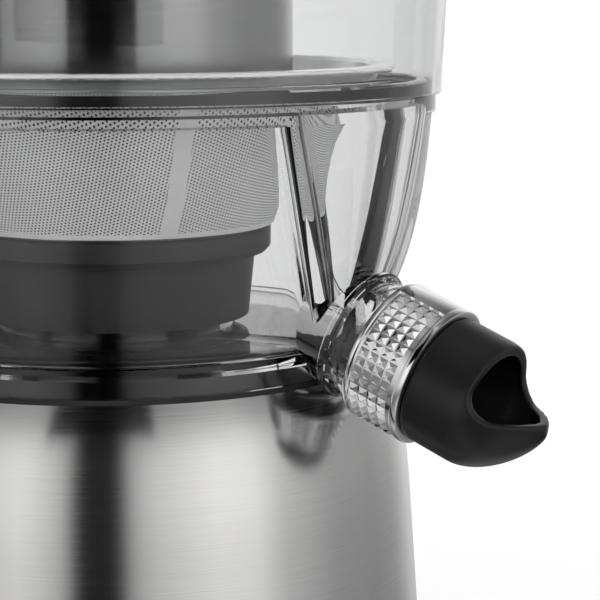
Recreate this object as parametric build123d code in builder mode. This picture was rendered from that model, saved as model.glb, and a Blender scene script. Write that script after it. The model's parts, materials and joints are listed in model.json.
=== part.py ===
from build123d import *
import os
from math import cos, radians, sin, tan

# Centrifugal juicer, millimetres. The spin axis is Z, the table is z = 0, the juice spout
# points to +X, the speed knob faces -Y and the pulp bin stands at -X.

os.makedirs("parts", exist_ok=True)

# ---- clearances -----------------------------------------------------------------------------
RUN_GAP = 0.05            # shaft in a bearing or seal, each side
PIN_GAP = 0.06            # sliding pin or hinge pin in its bore, each side
SLIP_GAP = 0.6            # pusher in the feed tube, each side
TURN_GAP = 0.35           # collar round the spout tube, each side
SEAT_GAP = 0.4            # loose parts set side by side

# ---- overall sizes --------------------------------------------------------------------------
BODY_TOP_Z = 174.6        # upper edge of the steel body
BOWL_RIM_R = 85.0         # the widest round part, which the lid sits on
BOWL_HIGH = 69.2          # from the deck up to the lid's lower edge
FEED_HIGH = 117.0         # from the lid's lower edge up to the top of the feed tube's sleeve

# ---- steel body -----------------------------------------------------------------------------
FOOT_HEIGHT = 6.0
PLATE_THICK = 4.0
BODY_FOOT_SPREAD = 3.2    # foot's outside radius, more than the bowl's rim
BODY_FLARE = 4.1          # degrees, wall leaning out towards the foot
BODY_WALL = 1.2
SHOULDER_HIGH = 54.0      # domed part of the wall, above the straight flare
SHOULDER_LEAN = 30.0      # degrees from vertical at the shoulder's upper edge
DECK_FLANGE_THICK = 1.2
DECK_THICK = 3.0
FOOT_INSET = 21.0         # rubber feet and base screws, in from the body's foot
PAD_R = 11.0              # rubber foot
PAD_STEM_R = 9.0
PAD_STEM_HIGH = 1.6
SCREW_POST_R = 6.0
SCREW_POST_HIGH = 14.0
SCREW_R = 2.1
SCREW_HEAD_R = 4.0
SCREW_HEAD_HIGH = 2.4
PLATE_EDGE = 0.6          # base plate's edge, out from the body's foot
PLATE_LIP_GAP = 0.8       # the wall leans in above the plate
PLATE_LIP_WALL = 2.0
PLATE_LIP_HIGH = 8.0
VENT_SLOTS = 12
VENT_RADIUS = 30.0
VENT_LONG = 26.0
VENT_WIDE = 3.4

# ---- juice bowl -----------------------------------------------------------------------------
BOWL_WALL = 2.6
BOWL_TAPER = 14.8         # skirt's radius, less than the rim's
BOWL_RIM_THICK = 2.8
BOWL_SHELF_THICK = 2.0     # shelf that bridges the front recess under the rim
BOWL_NECK_STEP = 2.4      # upstand that the lid goes round, in from the rim
BOWL_NECK_HIGH = 3.5
BOWL_FLANGE_LIP = 0.7     # foot flange, out from the skirt
BOWL_FLANGE_LOW = 4.6     # skirt height under the flange
BOWL_FLANGE_HIGH = 7.5
BOWL_SKIRT_WALL = 2.4
BOWL_FLOOR_THICK = 2.8
RECESS_TOP_DEPTH = 9.0    # front recess, in from the rim's radius
RECESS_LOW_DEPTH = 0.2    # and in from the skirt's radius at its lower end
RECESS_LOW_UP = 14.0      # height of the recess's lower end above the deck
FOLD_FACE_TURN = 34.0     # degrees, the way the fold's face looks, measured from +X
FOLD_DEPTH = 41.1         # fold plane at the rim, in from the rim's radius
FOLD_LEAN = 0.15          # how far the fold plane moves out for each unit down
HUB_WALL = 2.4
HUB_HIGH = 23.0           # hub's top above the deck
HUB_GAP = 2.2             # hub to the basket's skirt
BOSS_GAP = 1.2            # deck boss inside the hub
GUARD_OVERLAP = 3.4       # pulp guard's lip, under the basket's flange
GUARD_THICK = 2.0
GUARD_RISE = 4.0          # lip's top above the bowl's rim

# ---- spout ----------------------------------------------------------------------------------
SPOUT_DROP = 20.9         # degrees below level
SPOUT_INSET = 0.5         # collar's rear centre, in from the bowl's rim
SPOUT_RISE = 8.3          # collar's rear centre, height above the deck
SPOUT_TUBE_R = 15.4
SPOUT_WALL = 4.4
SPOUT_TUBE_END = 14.0     # how far the tube reaches into the collar
SPOUT_ROOT = 36.0         # how far the tube runs back into the bowl
SPOUT_LIP_STEP = 2.6
SPOUT_LIP_BACK = 9.0
SPOUT_LIP_THICK = 2.2
COLLAR_LENGTH = 16.3
COLLAR_WALL = 2.15
COLLAR_RIM = 1.7
COLLAR_PANEL_DEPTH = 0.8
SEAL_WIDTH = 2.0
SEAL_DEPTH = 1.0
SEAL_BACK = 5.0           # seal's groove, back from the tube's end
NOZZLE_STEP = 1.6         # nozzle's outside, in from the collar's
NOZZLE_WALL = 2.4
NOZZLE_REACH = 31.0       # past the collar's front rim
NOZZLE_BROW = 14.9        # reach of the upper edge, past the collar
NOZZLE_BARREL = 12.1      # straight part, past the collar
SCOOP_LOW = 1.0           # the scoop's edge over the spout axis, at its inner corner
SCOOP_RISE = 2.9
SCOOP_ROUND = 5.5

# ---- basket ---------------------------------------------------------------------------------
BASKET_FLANGE_INSET = 9.0  # in from the bowl's rim
BASKET_FLANGE_RISE = 7.4   # flange's top above the bowl's rim
BASKET_FLANGE_THICK = 1.5
BASKET_FLANGE_WIDE = 8.4   # flange's outer edge, out from the mesh
RIM_DROP = 6.2             # mesh's top edge, below the flange's top
RIM_BAND = 1.2             # height of the band that grips the mesh
MESH_MARGIN = 2.9          # mesh's lower edge, out from the feed tube's bore
MESH_THICK = 0.8
MESH_LAP = 0.6             # mesh's lower edge, below the disc's top
DISC_RISE = 35.2           # disc's top above the deck
DISC_THICK = 1.2
TOOTH_ROWS = 6
TOOTH_PER_ROW = 6
TOOTH_HEIGHT = 1.5
TOOTH_LENGTH = 3.0
TOOTH_WIDE = 1.0
TOOTH_SWEEP = 6.0          # degrees that each tooth stands behind the one inside it
BOLT_CAP_R = 9.0
BASE_STEP = 0.5            # base ring, in from the mesh's lower edge
BASE_HIGH = 8.0            # base ring's underside, below the disc's top
SKIRT_STEP = 4.2           # skirt, in from the base ring
SKIRT_TAPER = 1.8
BASKET_SKIRT_WALL = 2.0
BASKET_SKIRT_DROP = 17.0
SOCKET_WALL = 4.0
SOCKET_DROP = 11.0

# ---- coupling, shaft and motor --------------------------------------------------------------
SHAFT_R = 5.0
SHAFT_HOLE_GAP = 1.0       # shaft in a plain hole, each side
SHAFT_LOW_Z = 30.0
SHAFT_SHORT = 4.0          # shaft's end, below the coupling's top
SEAL_RING_WIDE = 7.0
SEAL_RING_HIGH = 6.0
COUPLING_WALL = 2.6
COUPLING_TOOTH_HIGH = 3.4
COUPLING_TOOTH_WIDE = 4.0
COUPLING_TEETH = 6
COUPLING_HIGH = 13.0
COUPLING_END_GAP = 1.0     # socket's depth past the coupling's end
RACE_WIDE = 6.0            # bearing, from its bore out to its edge
BEARING_HIGH = 7.0
LOWER_BEARING_Z = 35.0
UPPER_BEARING_Z = 127.0
BRACKET_THICK = 5.0
BRACKET_SPAN = 54.0
BRACKET_ARM_WIDE = 15.0
BRACKET_CUP_WALL = 3.0
STATOR_LOW_Z = 68.0
STATOR_HIGH = 34.0
STATOR_LONG = 88.0
STATOR_WIDE = 74.0
STATOR_BORE_R = 26.0
AIR_GAP = 0.6
COMMUTATOR_WALL = 7.5
FAN_R = 36.0
FAN_BLADES = 11
MOUNT_RADIUS = 46.0
MOUNT_R = 6.0
MOUNT_HIGH = 10.0
MOTOR_BOLT_RADIUS = 40.0
MOTOR_BOLT_R = 2.0

# ---- lid, feed tube and pusher --------------------------------------------------------------
LID_STEP = 1.4             # lid's lower edge, out from the bowl's rim
LID_WALL = 2.4
LID_DRAFT = 1.5            # side's top, out from its lower edge
LID_SIDE_HIGH = 33.0
LID_CROWN_INSET = 16.4     # crown's edge, in from the lid's lower edge
LID_CROWN_HIGH = 44.6
LID_NECK_RISE = 47.0
LID_NECK_HIGH = 9.0
LID_NECK_WALL = 3.0
SLEEVE_SPACE = 5.0         # air between the feed tube and its steel sleeve
SLEEVE_WALL = 1.0
SLEEVE_DROP = 7.0          # sleeve's lower edge, below the lid's
FEED_BORE_R = 39.0
FEED_WALL = 2.4
FEED_TOOTH_GAP = 2.4
FEED_MOUTH_STEP = 2.6      # mouth's rim, out from the sleeve
FEED_MOUTH_HIGH = 6.0
PUSHER_WALL = 2.4
PUSHER_GAP = 9.1           # pusher's end above the feed tube's lower edge
PUSHER_CAP_STEP = 3.0      # cap, in from the mouth's rim
PUSHER_CAP_HIGH = 18.0
LUG_STEP = 4.1             # lug's reach, out from the lid's side
LUG_RISE = 14.0            # lug's underside above the lid's lower edge
LUG_HIGH = 7.0
LUG_WIDE = 18.0

# ---- pulp chute and bin ---------------------------------------------------------------------
CHUTE_WIDE = 74.0
CHUTE_STAND = 9.1          # chute's near wall, out from the lid's side
CHUTE_LONG = 55.0
CHUTE_DROP = 17.0          # mouth, below the lid's lower edge
CHUTE_HIGH = 27.0          # roof, above the lid's lower edge
CHUTE_ROUND = 12.0
BIN_R = 74.0
BIN_BACK = 23.8            # bin's centre, out from the body's foot
BIN_GAP = 3.2              # between the body's foot and the bin's hollow face
BIN_HORN = 8.2             # how far the horns reach round the body's foot
BIN_TOP_GAP = 5.5          # bin's rim below the chute's mouth
BIN_WALL = 2.2
BIN_ROUND = 7.0
BIN_LIP = 2.4
BIN_LIP_HIGH = 4.0
GRIP_REACH = 30.0
GRIP_LONG = 116.0
GRIP_DROP = 32.5           # grip's top, below the bin's rim
GRIP_BAR = 11.0
GRIP_WIDE = 22.0

# ---- clamps ---------------------------------------------------------------------------------
CLAMP_ROUND = 112.0        # clamps stand this many degrees round from the spout, on both sides
CLAMP_STAND = 3.8          # pivot, out from the body's foot
CLAMP_DROP = 22.6          # pivot, below the body's upper edge
CLAMP_PIN_R = 2.5
CLAMP_WIDE = 20.0
CLAMP_THICK = 5.0
CLAMP_KNUCKLE_R = 6.5
CLAMP_STRAIGHT = 37.0     # upper part of the arm that runs nearly upright
CLAMP_LUG_GAP = 5.2        # arm's inner face, out from the lug
CLAMP_NOSE_LAP = 0.8       # nose's edge, out from the lug's edge
CLAMP_NOSE_GAP = 0.5
EAR_THICK = 4.0
EAR_GAP = 0.4
EAR_R = 7.5
INTERLOCK_PIN_R = 2.0
INTERLOCK_TRAVEL = 1.5
INTERLOCK_RISE = 10.5

# ---- knob and cord gland --------------------------------------------------------------------
KNOB_Z = 62.0
KNOB_R = 19.0
KNOB_DEEP = 17.0
KNOB_GAP = 0.6            # knob's back, clear of the bezel
KNOB_FLANGE = 6.0         # round part behind the grip bar
KNOB_BAR_WIDE = 11.0
SPINDLE_LONG = 24.0
BEZEL_R = 26.0
BEZEL_STAND = 1.8          # bezel's face, out from the body's foot
SPINDLE_R = 3.0
GLAND_Z = 26.0
GLAND_R = 8.0
GLAND_BORE_R = 3.6
GLAND_STAND = 3.0

# ---- places worked out from the sizes above: body and bowl ----------------------------------
PLATE_TOP_Z = FOOT_HEIGHT + PLATE_THICK
DECK_Z = BODY_TOP_Z + DECK_FLANGE_THICK
DECK_LOW_Z = BODY_TOP_Z - DECK_THICK
BOWL_RIM_Z = DECK_Z + BOWL_HIGH
BODY_FOOT_R = BOWL_RIM_R + BODY_FOOT_SPREAD
BOWL_SKIRT_R = BOWL_RIM_R - BOWL_TAPER
BODY_TOP_R = BOWL_SKIRT_R + 0.2
SHOULDER_LOW_Z = BODY_TOP_Z - SHOULDER_HIGH
SHOULDER_LOW_R = BODY_FOOT_R - (SHOULDER_LOW_Z - PLATE_TOP_Z) * tan(radians(BODY_FLARE))
BOWL_FLANGE_R = BOWL_SKIRT_R + BOWL_FLANGE_LIP
BOWL_NECK_R = BOWL_RIM_R - BOWL_NECK_STEP
BOWL_NECK_TOP = BOWL_RIM_Z + BOWL_NECK_HIGH
BOWL_SHELF_Z = BOWL_RIM_Z - BOWL_RIM_THICK
FLOOR_LOW_Z = DECK_Z + BOWL_FLANGE_LOW
FLOOR_TOP_Z = FLOOR_LOW_Z + BOWL_FLOOR_THICK
RECESS_TOP_R = BOWL_RIM_R - RECESS_TOP_DEPTH
RECESS_LOW_R = BOWL_SKIRT_R - RECESS_LOW_DEPTH

# ---- basket, between the feed tube and the bowl ---------------------------------------------
DISC_TOP_Z = DECK_Z + DISC_RISE
BASKET_BASE_TOP = DISC_TOP_Z - DISC_THICK
BASKET_BASE_LOW = DISC_TOP_Z - BASE_HIGH
BASKET_FLANGE_R = BOWL_RIM_R - BASKET_FLANGE_INSET
BASKET_FLANGE_TOP = BOWL_RIM_Z + BASKET_FLANGE_RISE
FLANGE_LOW_Z = BASKET_FLANGE_TOP - BASKET_FLANGE_THICK
MESH_TOP_R = BASKET_FLANGE_R - BASKET_FLANGE_WIDE
MESH_TOP_Z = BASKET_FLANGE_TOP - RIM_DROP
MESH_LOW_R = FEED_BORE_R + MESH_MARGIN
MESH_LOW_Z = DISC_TOP_Z - MESH_LAP
MESH_LEAN = (MESH_TOP_R - MESH_LOW_R) / (MESH_TOP_Z - MESH_LOW_Z)
MESH_RING_R = MESH_LOW_R - MESH_THICK
BASKET_BASE_R = MESH_LOW_R - BASE_STEP
BASKET_SKIRT_TOP_R = BASKET_BASE_R - SKIRT_STEP
BASKET_SKIRT_LOW_R = BASKET_SKIRT_TOP_R - SKIRT_TAPER
HUB_BORE_R = BASKET_SKIRT_LOW_R - BASKET_SKIRT_WALL - HUB_GAP - HUB_WALL
BOSS_R = HUB_BORE_R - BOSS_GAP
BOSS_TOP_Z = DECK_Z + 10.4
GUARD_INNER_R = BASKET_FLANGE_R - GUARD_OVERLAP
GUARD_LIP_TOP = BOWL_RIM_Z + GUARD_RISE

# ---- spout ----------------------------------------------------------------------------------
SPOUT_BORE_R = SPOUT_TUBE_R - SPOUT_WALL
SPOUT_LIP_R = SPOUT_TUBE_R + SPOUT_LIP_STEP
COLLAR_BORE_R = SPOUT_TUBE_R + TURN_GAP
COLLAR_R = COLLAR_BORE_R + COLLAR_WALL
NOZZLE_R = COLLAR_R - NOZZLE_STEP
NOZZLE_SEAT = SPOUT_TUBE_END + SEAT_GAP
SEAL_START = SPOUT_TUBE_END - SEAL_BACK

# ---- drive line -----------------------------------------------------------------------------
COUPLING_TOP_Z = BASKET_BASE_LOW
COUPLING_LOW_Z = COUPLING_TOP_Z - COUPLING_HIGH
COUPLING_CORE_R = SHAFT_R + COUPLING_WALL
COUPLING_TOOTH_R = COUPLING_CORE_R + COUPLING_TOOTH_HIGH
SOCKET_R = COUPLING_TOOTH_R + SOCKET_WALL
SHAFT_TOP_Z = COUPLING_TOP_Z - SHAFT_SHORT
SHAFT_SEAL_R = SHAFT_R + SEAL_RING_WIDE
BEARING_R = SHAFT_R + RACE_WIDE
COMMUTATOR_R = SHAFT_R + COMMUTATOR_WALL
STATOR_TOP_Z = STATOR_LOW_Z + STATOR_HIGH
LOWER_BRACKET_Z = LOWER_BEARING_Z + 2
UPPER_BRACKET_TOP = UPPER_BEARING_Z + BEARING_HIGH
POST_LOW_Z = UPPER_BRACKET_TOP + MOUNT_HIGH

# ---- lid, feed tube, chute and bin ----------------------------------------------------------
LID_LOW_R = BOWL_RIM_R + LID_STEP
LID_SIDE_TOP_R = LID_LOW_R + LID_DRAFT
LID_SIDE_TOP_Z = BOWL_RIM_Z + LID_SIDE_HIGH
LID_NECK_Z = BOWL_RIM_Z + LID_NECK_RISE
FEED_OUTER_R = FEED_BORE_R + FEED_WALL
SLEEVE_R = FEED_OUTER_R + SLEEVE_SPACE + SLEEVE_WALL
SLEEVE_LOW_Z = BOWL_RIM_Z - SLEEVE_DROP
SLEEVE_TOP_Z = BOWL_RIM_Z + FEED_HIGH
FEED_LOW_Z = DISC_TOP_Z + TOOTH_HEIGHT + FEED_TOOTH_GAP
FEED_TOP_Z = SLEEVE_TOP_Z + FEED_MOUTH_HIGH
FEED_MOUTH_R = SLEEVE_R + FEED_MOUTH_STEP
PUSHER_R = FEED_BORE_R - SLIP_GAP
PUSHER_LOW_Z = FEED_LOW_Z + PUSHER_GAP
PUSHER_CAP_Z = FEED_TOP_Z + SEAT_GAP
PUSHER_CAP_R = FEED_MOUTH_R - PUSHER_CAP_STEP
LUG_REACH = LID_SIDE_TOP_R + LUG_STEP
LUG_LOW_Z = BOWL_RIM_Z + LUG_RISE
LUG_TOP_Z = LUG_LOW_Z + LUG_HIGH
CHUTE_NEAR_X = LID_SIDE_TOP_R + CHUTE_STAND
CHUTE_FAR_X = CHUTE_NEAR_X + CHUTE_LONG
CHUTE_LOW_Z = BOWL_RIM_Z - CHUTE_DROP
CHUTE_ROOF_Z = BOWL_RIM_Z + CHUTE_HIGH
BIN_CENTRE_X = BODY_FOOT_R + BIN_BACK
BIN_HORN_X = BODY_FOOT_R - BIN_HORN
BIN_TOP_Z = CHUTE_LOW_Z - BIN_TOP_GAP

# ---- clamps and knob ------------------------------------------------------------------------
CLAMP_TURNS = (CLAMP_ROUND - 90, 270 - CLAMP_ROUND)
CLAMP_PIVOT_Y = BODY_FOOT_R + CLAMP_STAND
CLAMP_PIVOT_Z = BODY_TOP_Z - CLAMP_DROP
CLAMP_TOP_Z = LUG_TOP_Z + CLAMP_NOSE_GAP
CLAMP_INNER_Y = LUG_REACH + CLAMP_LUG_GAP
CLAMP_NOSE_Y = LUG_REACH + CLAMP_NOSE_LAP
CLAMP_BEND_Z = LUG_LOW_Z - CLAMP_STRAIGHT
EAR_INNER = 0.5 * CLAMP_WIDE + EAR_GAP
INTERLOCK_Z = CLAMP_PIVOT_Z + INTERLOCK_RISE
BEZEL_FACE_Y = BODY_FOOT_R + BEZEL_STAND
KNOB_BACK_Y = BEZEL_FACE_Y + KNOB_GAP
GLAND_FACE_Y = BODY_FOOT_R + GLAND_STAND


def save(piece, name):
    """Label a finished piece and write it as its own STEP file."""
    piece.part.label = name
    export_step(piece.part, f"parts/{name}.step")


def turned(points, mode=Mode.ADD):
    """Turn a closed outline of (radius, height) points about the spin axis."""
    with BuildSketch(Plane.XZ) as outline:
        with BuildLine():
            Polyline(*points, close=True)
        make_face()
    revolve(outline.sketch, axis=Axis.Z, mode=mode)


def ring(inner_r, outer_r, low, high, mode=Mode.ADD):
    """A plain ring round the spin axis, or a disc where the inner radius is zero."""
    with BuildSketch(Plane.XY.offset(low)) as outline:
        Circle(outer_r)
        if inner_r > 0:
            Circle(inner_r, mode=Mode.SUBTRACT)
    extrude(outline.sketch, amount=high - low, mode=mode)


def posts(radius, spread_r, count, low, high, start=45.0, mode=Mode.ADD):
    """Round posts spread on a circle about the spin axis."""
    with BuildSketch(Plane.XY.offset(low)) as outline:
        with PolarLocations(spread_r, count, start_angle=start):
            Circle(radius)
    extrude(outline.sketch, amount=high - low, mode=mode)


def body_outline(inset, low, high_cut):
    """Half section of the steel body: straight flare, then a domed shoulder."""
    lean = radians(SHOULDER_LEAN)
    flare = radians(BODY_FLARE)
    foot = (BODY_FOOT_R + (PLATE_TOP_Z - low) * tan(flare) - inset, low)
    knee = (SHOULDER_LOW_R - inset, SHOULDER_LOW_Z)
    rise = BODY_TOP_Z - SHOULDER_LOW_Z
    top = (BODY_TOP_R - inset, high_cut)
    knee_pull = (knee[0] - 0.48 * rise * tan(flare), knee[1] + 0.48 * rise)
    top_pull = (top[0] + 0.26 * rise * tan(lean), top[1] - 0.26 * rise)
    with BuildSketch(Plane.XZ) as outline:
        with BuildLine():
            Line((0, low), foot)
            Line(foot, knee)
            Bezier(knee, knee_pull, top_pull, top)
            Polyline(top, (0, high_cut), (0, low))
        make_face()
    return outline.sketch


def about_z(plane, angle):
    """The plane turned round the upright axis."""
    origin = plane.origin.rotate(Axis.Z, angle)
    across = plane.x_dir.rotate(Axis.Z, angle)
    facing = plane.z_dir.rotate(Axis.Z, angle)
    return Plane(origin=origin, x_dir=across, z_dir=facing)


# ================================ steel body and its floor ===================================

with BuildPart() as body_envelope:
    revolve(body_outline(0, PLATE_TOP_Z, BODY_TOP_Z), axis=Axis.Z)

KNOB_PLANE = Plane(origin=(0, 0, KNOB_Z), x_dir=(1, 0, 0), z_dir=(0, -1, 0))
GLAND_PLANE = Plane(origin=(0, 0, GLAND_Z), x_dir=(-1, 0, 0), z_dir=(0, 1, 0))

with BuildPart() as base_housing:
    revolve(body_outline(0, PLATE_TOP_Z, BODY_TOP_Z), axis=Axis.Z)
    revolve(body_outline(BODY_WALL, PLATE_TOP_Z, BODY_TOP_Z), axis=Axis.Z, mode=Mode.SUBTRACT)
    with BuildSketch(KNOB_PLANE):
        Circle(SPINDLE_R + 3)
    extrude(amount=BODY_FOOT_R + 10, mode=Mode.SUBTRACT)
    with BuildSketch(GLAND_PLANE):
        Circle(GLAND_R - 2)
    extrude(amount=BODY_FOOT_R + 10, mode=Mode.SUBTRACT)
    for turn in CLAMP_TURNS:
        with BuildSketch(about_z(Plane.XZ.offset(-BODY_FOOT_R), turn)):
            with Locations((0, INTERLOCK_Z)):
                Circle(INTERLOCK_PIN_R + 1)
        extrude(amount=0.5 * BODY_FOOT_R, mode=Mode.SUBTRACT)
save(base_housing, "base_housing")

FOOT_SPREAD = BODY_FOOT_R - FOOT_INSET
PLATE_R = BODY_FOOT_R + PLATE_EDGE
PLATE_LIP_R = BODY_FOOT_R - BODY_WALL - PLATE_LIP_GAP
SCREW_POST_TOP = PLATE_TOP_Z + SCREW_POST_HIGH

with BuildPart() as base_plate:
    ring(0, PLATE_R, FOOT_HEIGHT, PLATE_TOP_Z)
    chamfer(base_plate.edges().group_by(Axis.Z)[0], length=0.3 * PLATE_THICK)
    ring(PLATE_LIP_R - PLATE_LIP_WALL, PLATE_LIP_R, PLATE_TOP_Z, PLATE_TOP_Z + PLATE_LIP_HIGH)
    posts(SCREW_POST_R, FOOT_SPREAD, 4, PLATE_TOP_Z, SCREW_POST_TOP, start=0)
    with BuildSketch(Plane.XY.offset(FOOT_HEIGHT)):
        with PolarLocations(VENT_RADIUS, VENT_SLOTS):
            SlotOverall(VENT_LONG, VENT_WIDE)
    extrude(amount=PLATE_THICK, mode=Mode.SUBTRACT)
    posts(PAD_STEM_R, FOOT_SPREAD, 4, FOOT_HEIGHT, FOOT_HEIGHT + PAD_STEM_HIGH, mode=Mode.SUBTRACT)
    posts(SCREW_R, FOOT_SPREAD, 4, FOOT_HEIGHT, SCREW_POST_TOP, start=0, mode=Mode.SUBTRACT)
    posts(SCREW_HEAD_R + 0.2, FOOT_SPREAD, 4, FOOT_HEIGHT, FOOT_HEIGHT + SCREW_HEAD_HIGH, start=0,
          mode=Mode.SUBTRACT)
save(base_plate, "base_plate")

with BuildPart() as base_screws:
    posts(SCREW_HEAD_R, FOOT_SPREAD, 4, FOOT_HEIGHT + 0.2, FOOT_HEIGHT + SCREW_HEAD_HIGH, start=0)
    posts(SCREW_R, FOOT_SPREAD, 4, FOOT_HEIGHT + SCREW_HEAD_HIGH, SCREW_POST_TOP - 2, start=0)
save(base_screws, "base_screws")

with BuildPart() as rubber_feet:
    with BuildSketch(Plane.XY):
        with PolarLocations(FOOT_SPREAD, 4, start_angle=45):
            Circle(PAD_R)
    extrude(amount=FOOT_HEIGHT)
    fillet(rubber_feet.edges().group_by(Axis.Z)[0], radius=0.25 * FOOT_HEIGHT)
    posts(PAD_STEM_R, FOOT_SPREAD, 4, FOOT_HEIGHT, FOOT_HEIGHT + PAD_STEM_HIGH)
save(rubber_feet, "rubber_feet")

# ================================ moulded top deck ===========================================

with BuildPart() as top_deck:
    turned([
        (SHAFT_R + SHAFT_HOLE_GAP, DECK_LOW_Z),
        (BODY_TOP_R - BODY_WALL - SEAT_GAP, DECK_LOW_Z),
        (BODY_TOP_R - BODY_WALL - SEAT_GAP, BODY_TOP_Z),
        (BOWL_SKIRT_R, BODY_TOP_Z),
        (BOWL_SKIRT_R, DECK_Z),
        (BOWL_SKIRT_R - 4, DECK_Z),
        (BOWL_SKIRT_R - 5, DECK_Z - 0.8),
        (BOSS_R + 1.2, DECK_Z - 0.8),
        (BOSS_R, BOSS_TOP_Z - 2),
        (BOSS_R - 2, BOSS_TOP_Z),
        (SHAFT_R + SHAFT_HOLE_GAP, BOSS_TOP_Z),
    ])
    ring(0, SHAFT_SEAL_R, BOSS_TOP_Z - SEAL_RING_HIGH, BOSS_TOP_Z, mode=Mode.SUBTRACT)
    turned([
        (SHAFT_SEAL_R + 3, DECK_Z - 8),
        (BOSS_R - 1.8, DECK_Z - 8),
        (BOSS_R - 2.6, BOSS_TOP_Z - 4),
        (SHAFT_SEAL_R + 3, BOSS_TOP_Z - 4),
    ], mode=Mode.SUBTRACT)
    posts(MOUNT_R, MOUNT_RADIUS, 4, POST_LOW_Z, DECK_LOW_Z)
save(top_deck, "top_deck")

with BuildPart() as shaft_seal:
    turned([
        (SHAFT_R + RUN_GAP, BOSS_TOP_Z - SEAL_RING_HIGH),
        (SHAFT_SEAL_R, BOSS_TOP_Z - SEAL_RING_HIGH),
        (SHAFT_SEAL_R, BOSS_TOP_Z),
        (SHAFT_R + 3, BOSS_TOP_Z),
        (SHAFT_R + RUN_GAP, BOSS_TOP_Z - 2.4),
    ])
save(shaft_seal, "shaft_seal")

# ================================ juice bowl =================================================

SPOUT_ALONG = Vector(cos(radians(SPOUT_DROP)), 0, -sin(radians(SPOUT_DROP)))
SPOUT_UP = Vector(sin(radians(SPOUT_DROP)), 0, cos(radians(SPOUT_DROP)))
SPOUT_START = Vector(BOWL_RIM_R - SPOUT_INSET, 0, DECK_Z + SPOUT_RISE)


def spout_plane(along):
    """Plane across the spout; local X points up the spout's section, local Z points outwards."""
    return Plane(origin=SPOUT_START + SPOUT_ALONG * along, x_dir=SPOUT_UP, z_dir=SPOUT_ALONG)


def spout_ring(inner_r, outer_r, start, end, mode=Mode.ADD):
    """A ring, or a rod, on the spout's own axis."""
    with BuildSketch(spout_plane(start)) as outline:
        Circle(outer_r)
        if inner_r > 0:
            Circle(inner_r, mode=Mode.SUBTRACT)
    extrude(outline.sketch, amount=end - start, mode=mode)


def bowl_outline(inset, low):
    """Half section of the bowl's round side, from its floor line up to the rim."""
    high = BOWL_SHELF_Z + 0.4
    tall = high - (DECK_Z + BOWL_FLANGE_HIGH)
    rim = (BOWL_RIM_R - inset, high)
    rim_pull = (BOWL_RIM_R - 1.4 - inset, high - 0.465 * tall)
    belly_pull = (BOWL_RIM_R - 3.5 - inset, low + 0.214 * tall)
    foot = (BOWL_FLANGE_R - 0.1 - 1.7 * inset, low)
    with BuildSketch(Plane.XZ) as outline:
        with BuildLine():
            Bezier(rim, rim_pull, belly_pull, foot)
            Polyline(foot, (0, low), (0, high), rim)
        make_face()
    return outline.sketch


def recess_outline(inset, low):
    """Half section of the front recess: a plain cone under the rim."""
    high = BOWL_SHELF_Z + 0.4
    with BuildSketch(Plane.XZ) as outline:
        with BuildLine():
            Polyline(
                (0, low),
                (RECESS_LOW_R - inset - 0.4, low),
                (RECESS_LOW_R - inset, DECK_Z + RECESS_LOW_UP),
                (RECESS_TOP_R - inset, high),
                (0, high),
                close=True,
            )
        make_face()
    return outline.sketch


def recess_wedge(grow):
    """Space in front of the two folds; each fold is one leaning plane, mirrored across X."""
    face_x = cos(radians(FOLD_FACE_TURN))
    face_y = sin(radians(FOLD_FACE_TURN))
    reach = 2 * BOWL_RIM_R
    low = DECK_Z - 10
    high = BOWL_SHELF_Z + 0.4 * grow
    with BuildSketch(Plane.XY.offset(low)) as lower:
        offset_low = BOWL_RIM_R - FOLD_DEPTH + FOLD_LEAN * (BOWL_RIM_Z - low) + grow
        near = offset_low / face_x
        far = (offset_low + face_y * reach) / face_x
        Polygon((-near, 0), (near, 0), (far, -reach), (-far, -reach), align=None)
    with BuildSketch(Plane.XY.offset(high)) as upper:
        offset_high = BOWL_RIM_R - FOLD_DEPTH + FOLD_LEAN * (BOWL_RIM_Z - high) + grow
        near = offset_high / face_x
        far = (offset_high + face_y * reach) / face_x
        Polygon((-near, 0), (near, 0), (far, -reach), (-far, -reach), align=None)
    return loft([lower.sketch, upper.sketch], mode=Mode.PRIVATE)


with BuildPart() as bowl_hollow:
    revolve(bowl_outline(BOWL_WALL, FLOOR_TOP_Z), axis=Axis.Z)
    add(recess_wedge(BOWL_WALL), mode=Mode.SUBTRACT)
    revolve(recess_outline(BOWL_WALL, FLOOR_TOP_Z), axis=Axis.Z)
    ring(0, BOWL_NECK_R - BOWL_WALL, BOWL_SHELF_Z, BOWL_NECK_TOP + 1)
    ring(0, HUB_BORE_R + HUB_WALL, FLOOR_LOW_Z, DECK_Z + HUB_HIGH, mode=Mode.SUBTRACT)

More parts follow.
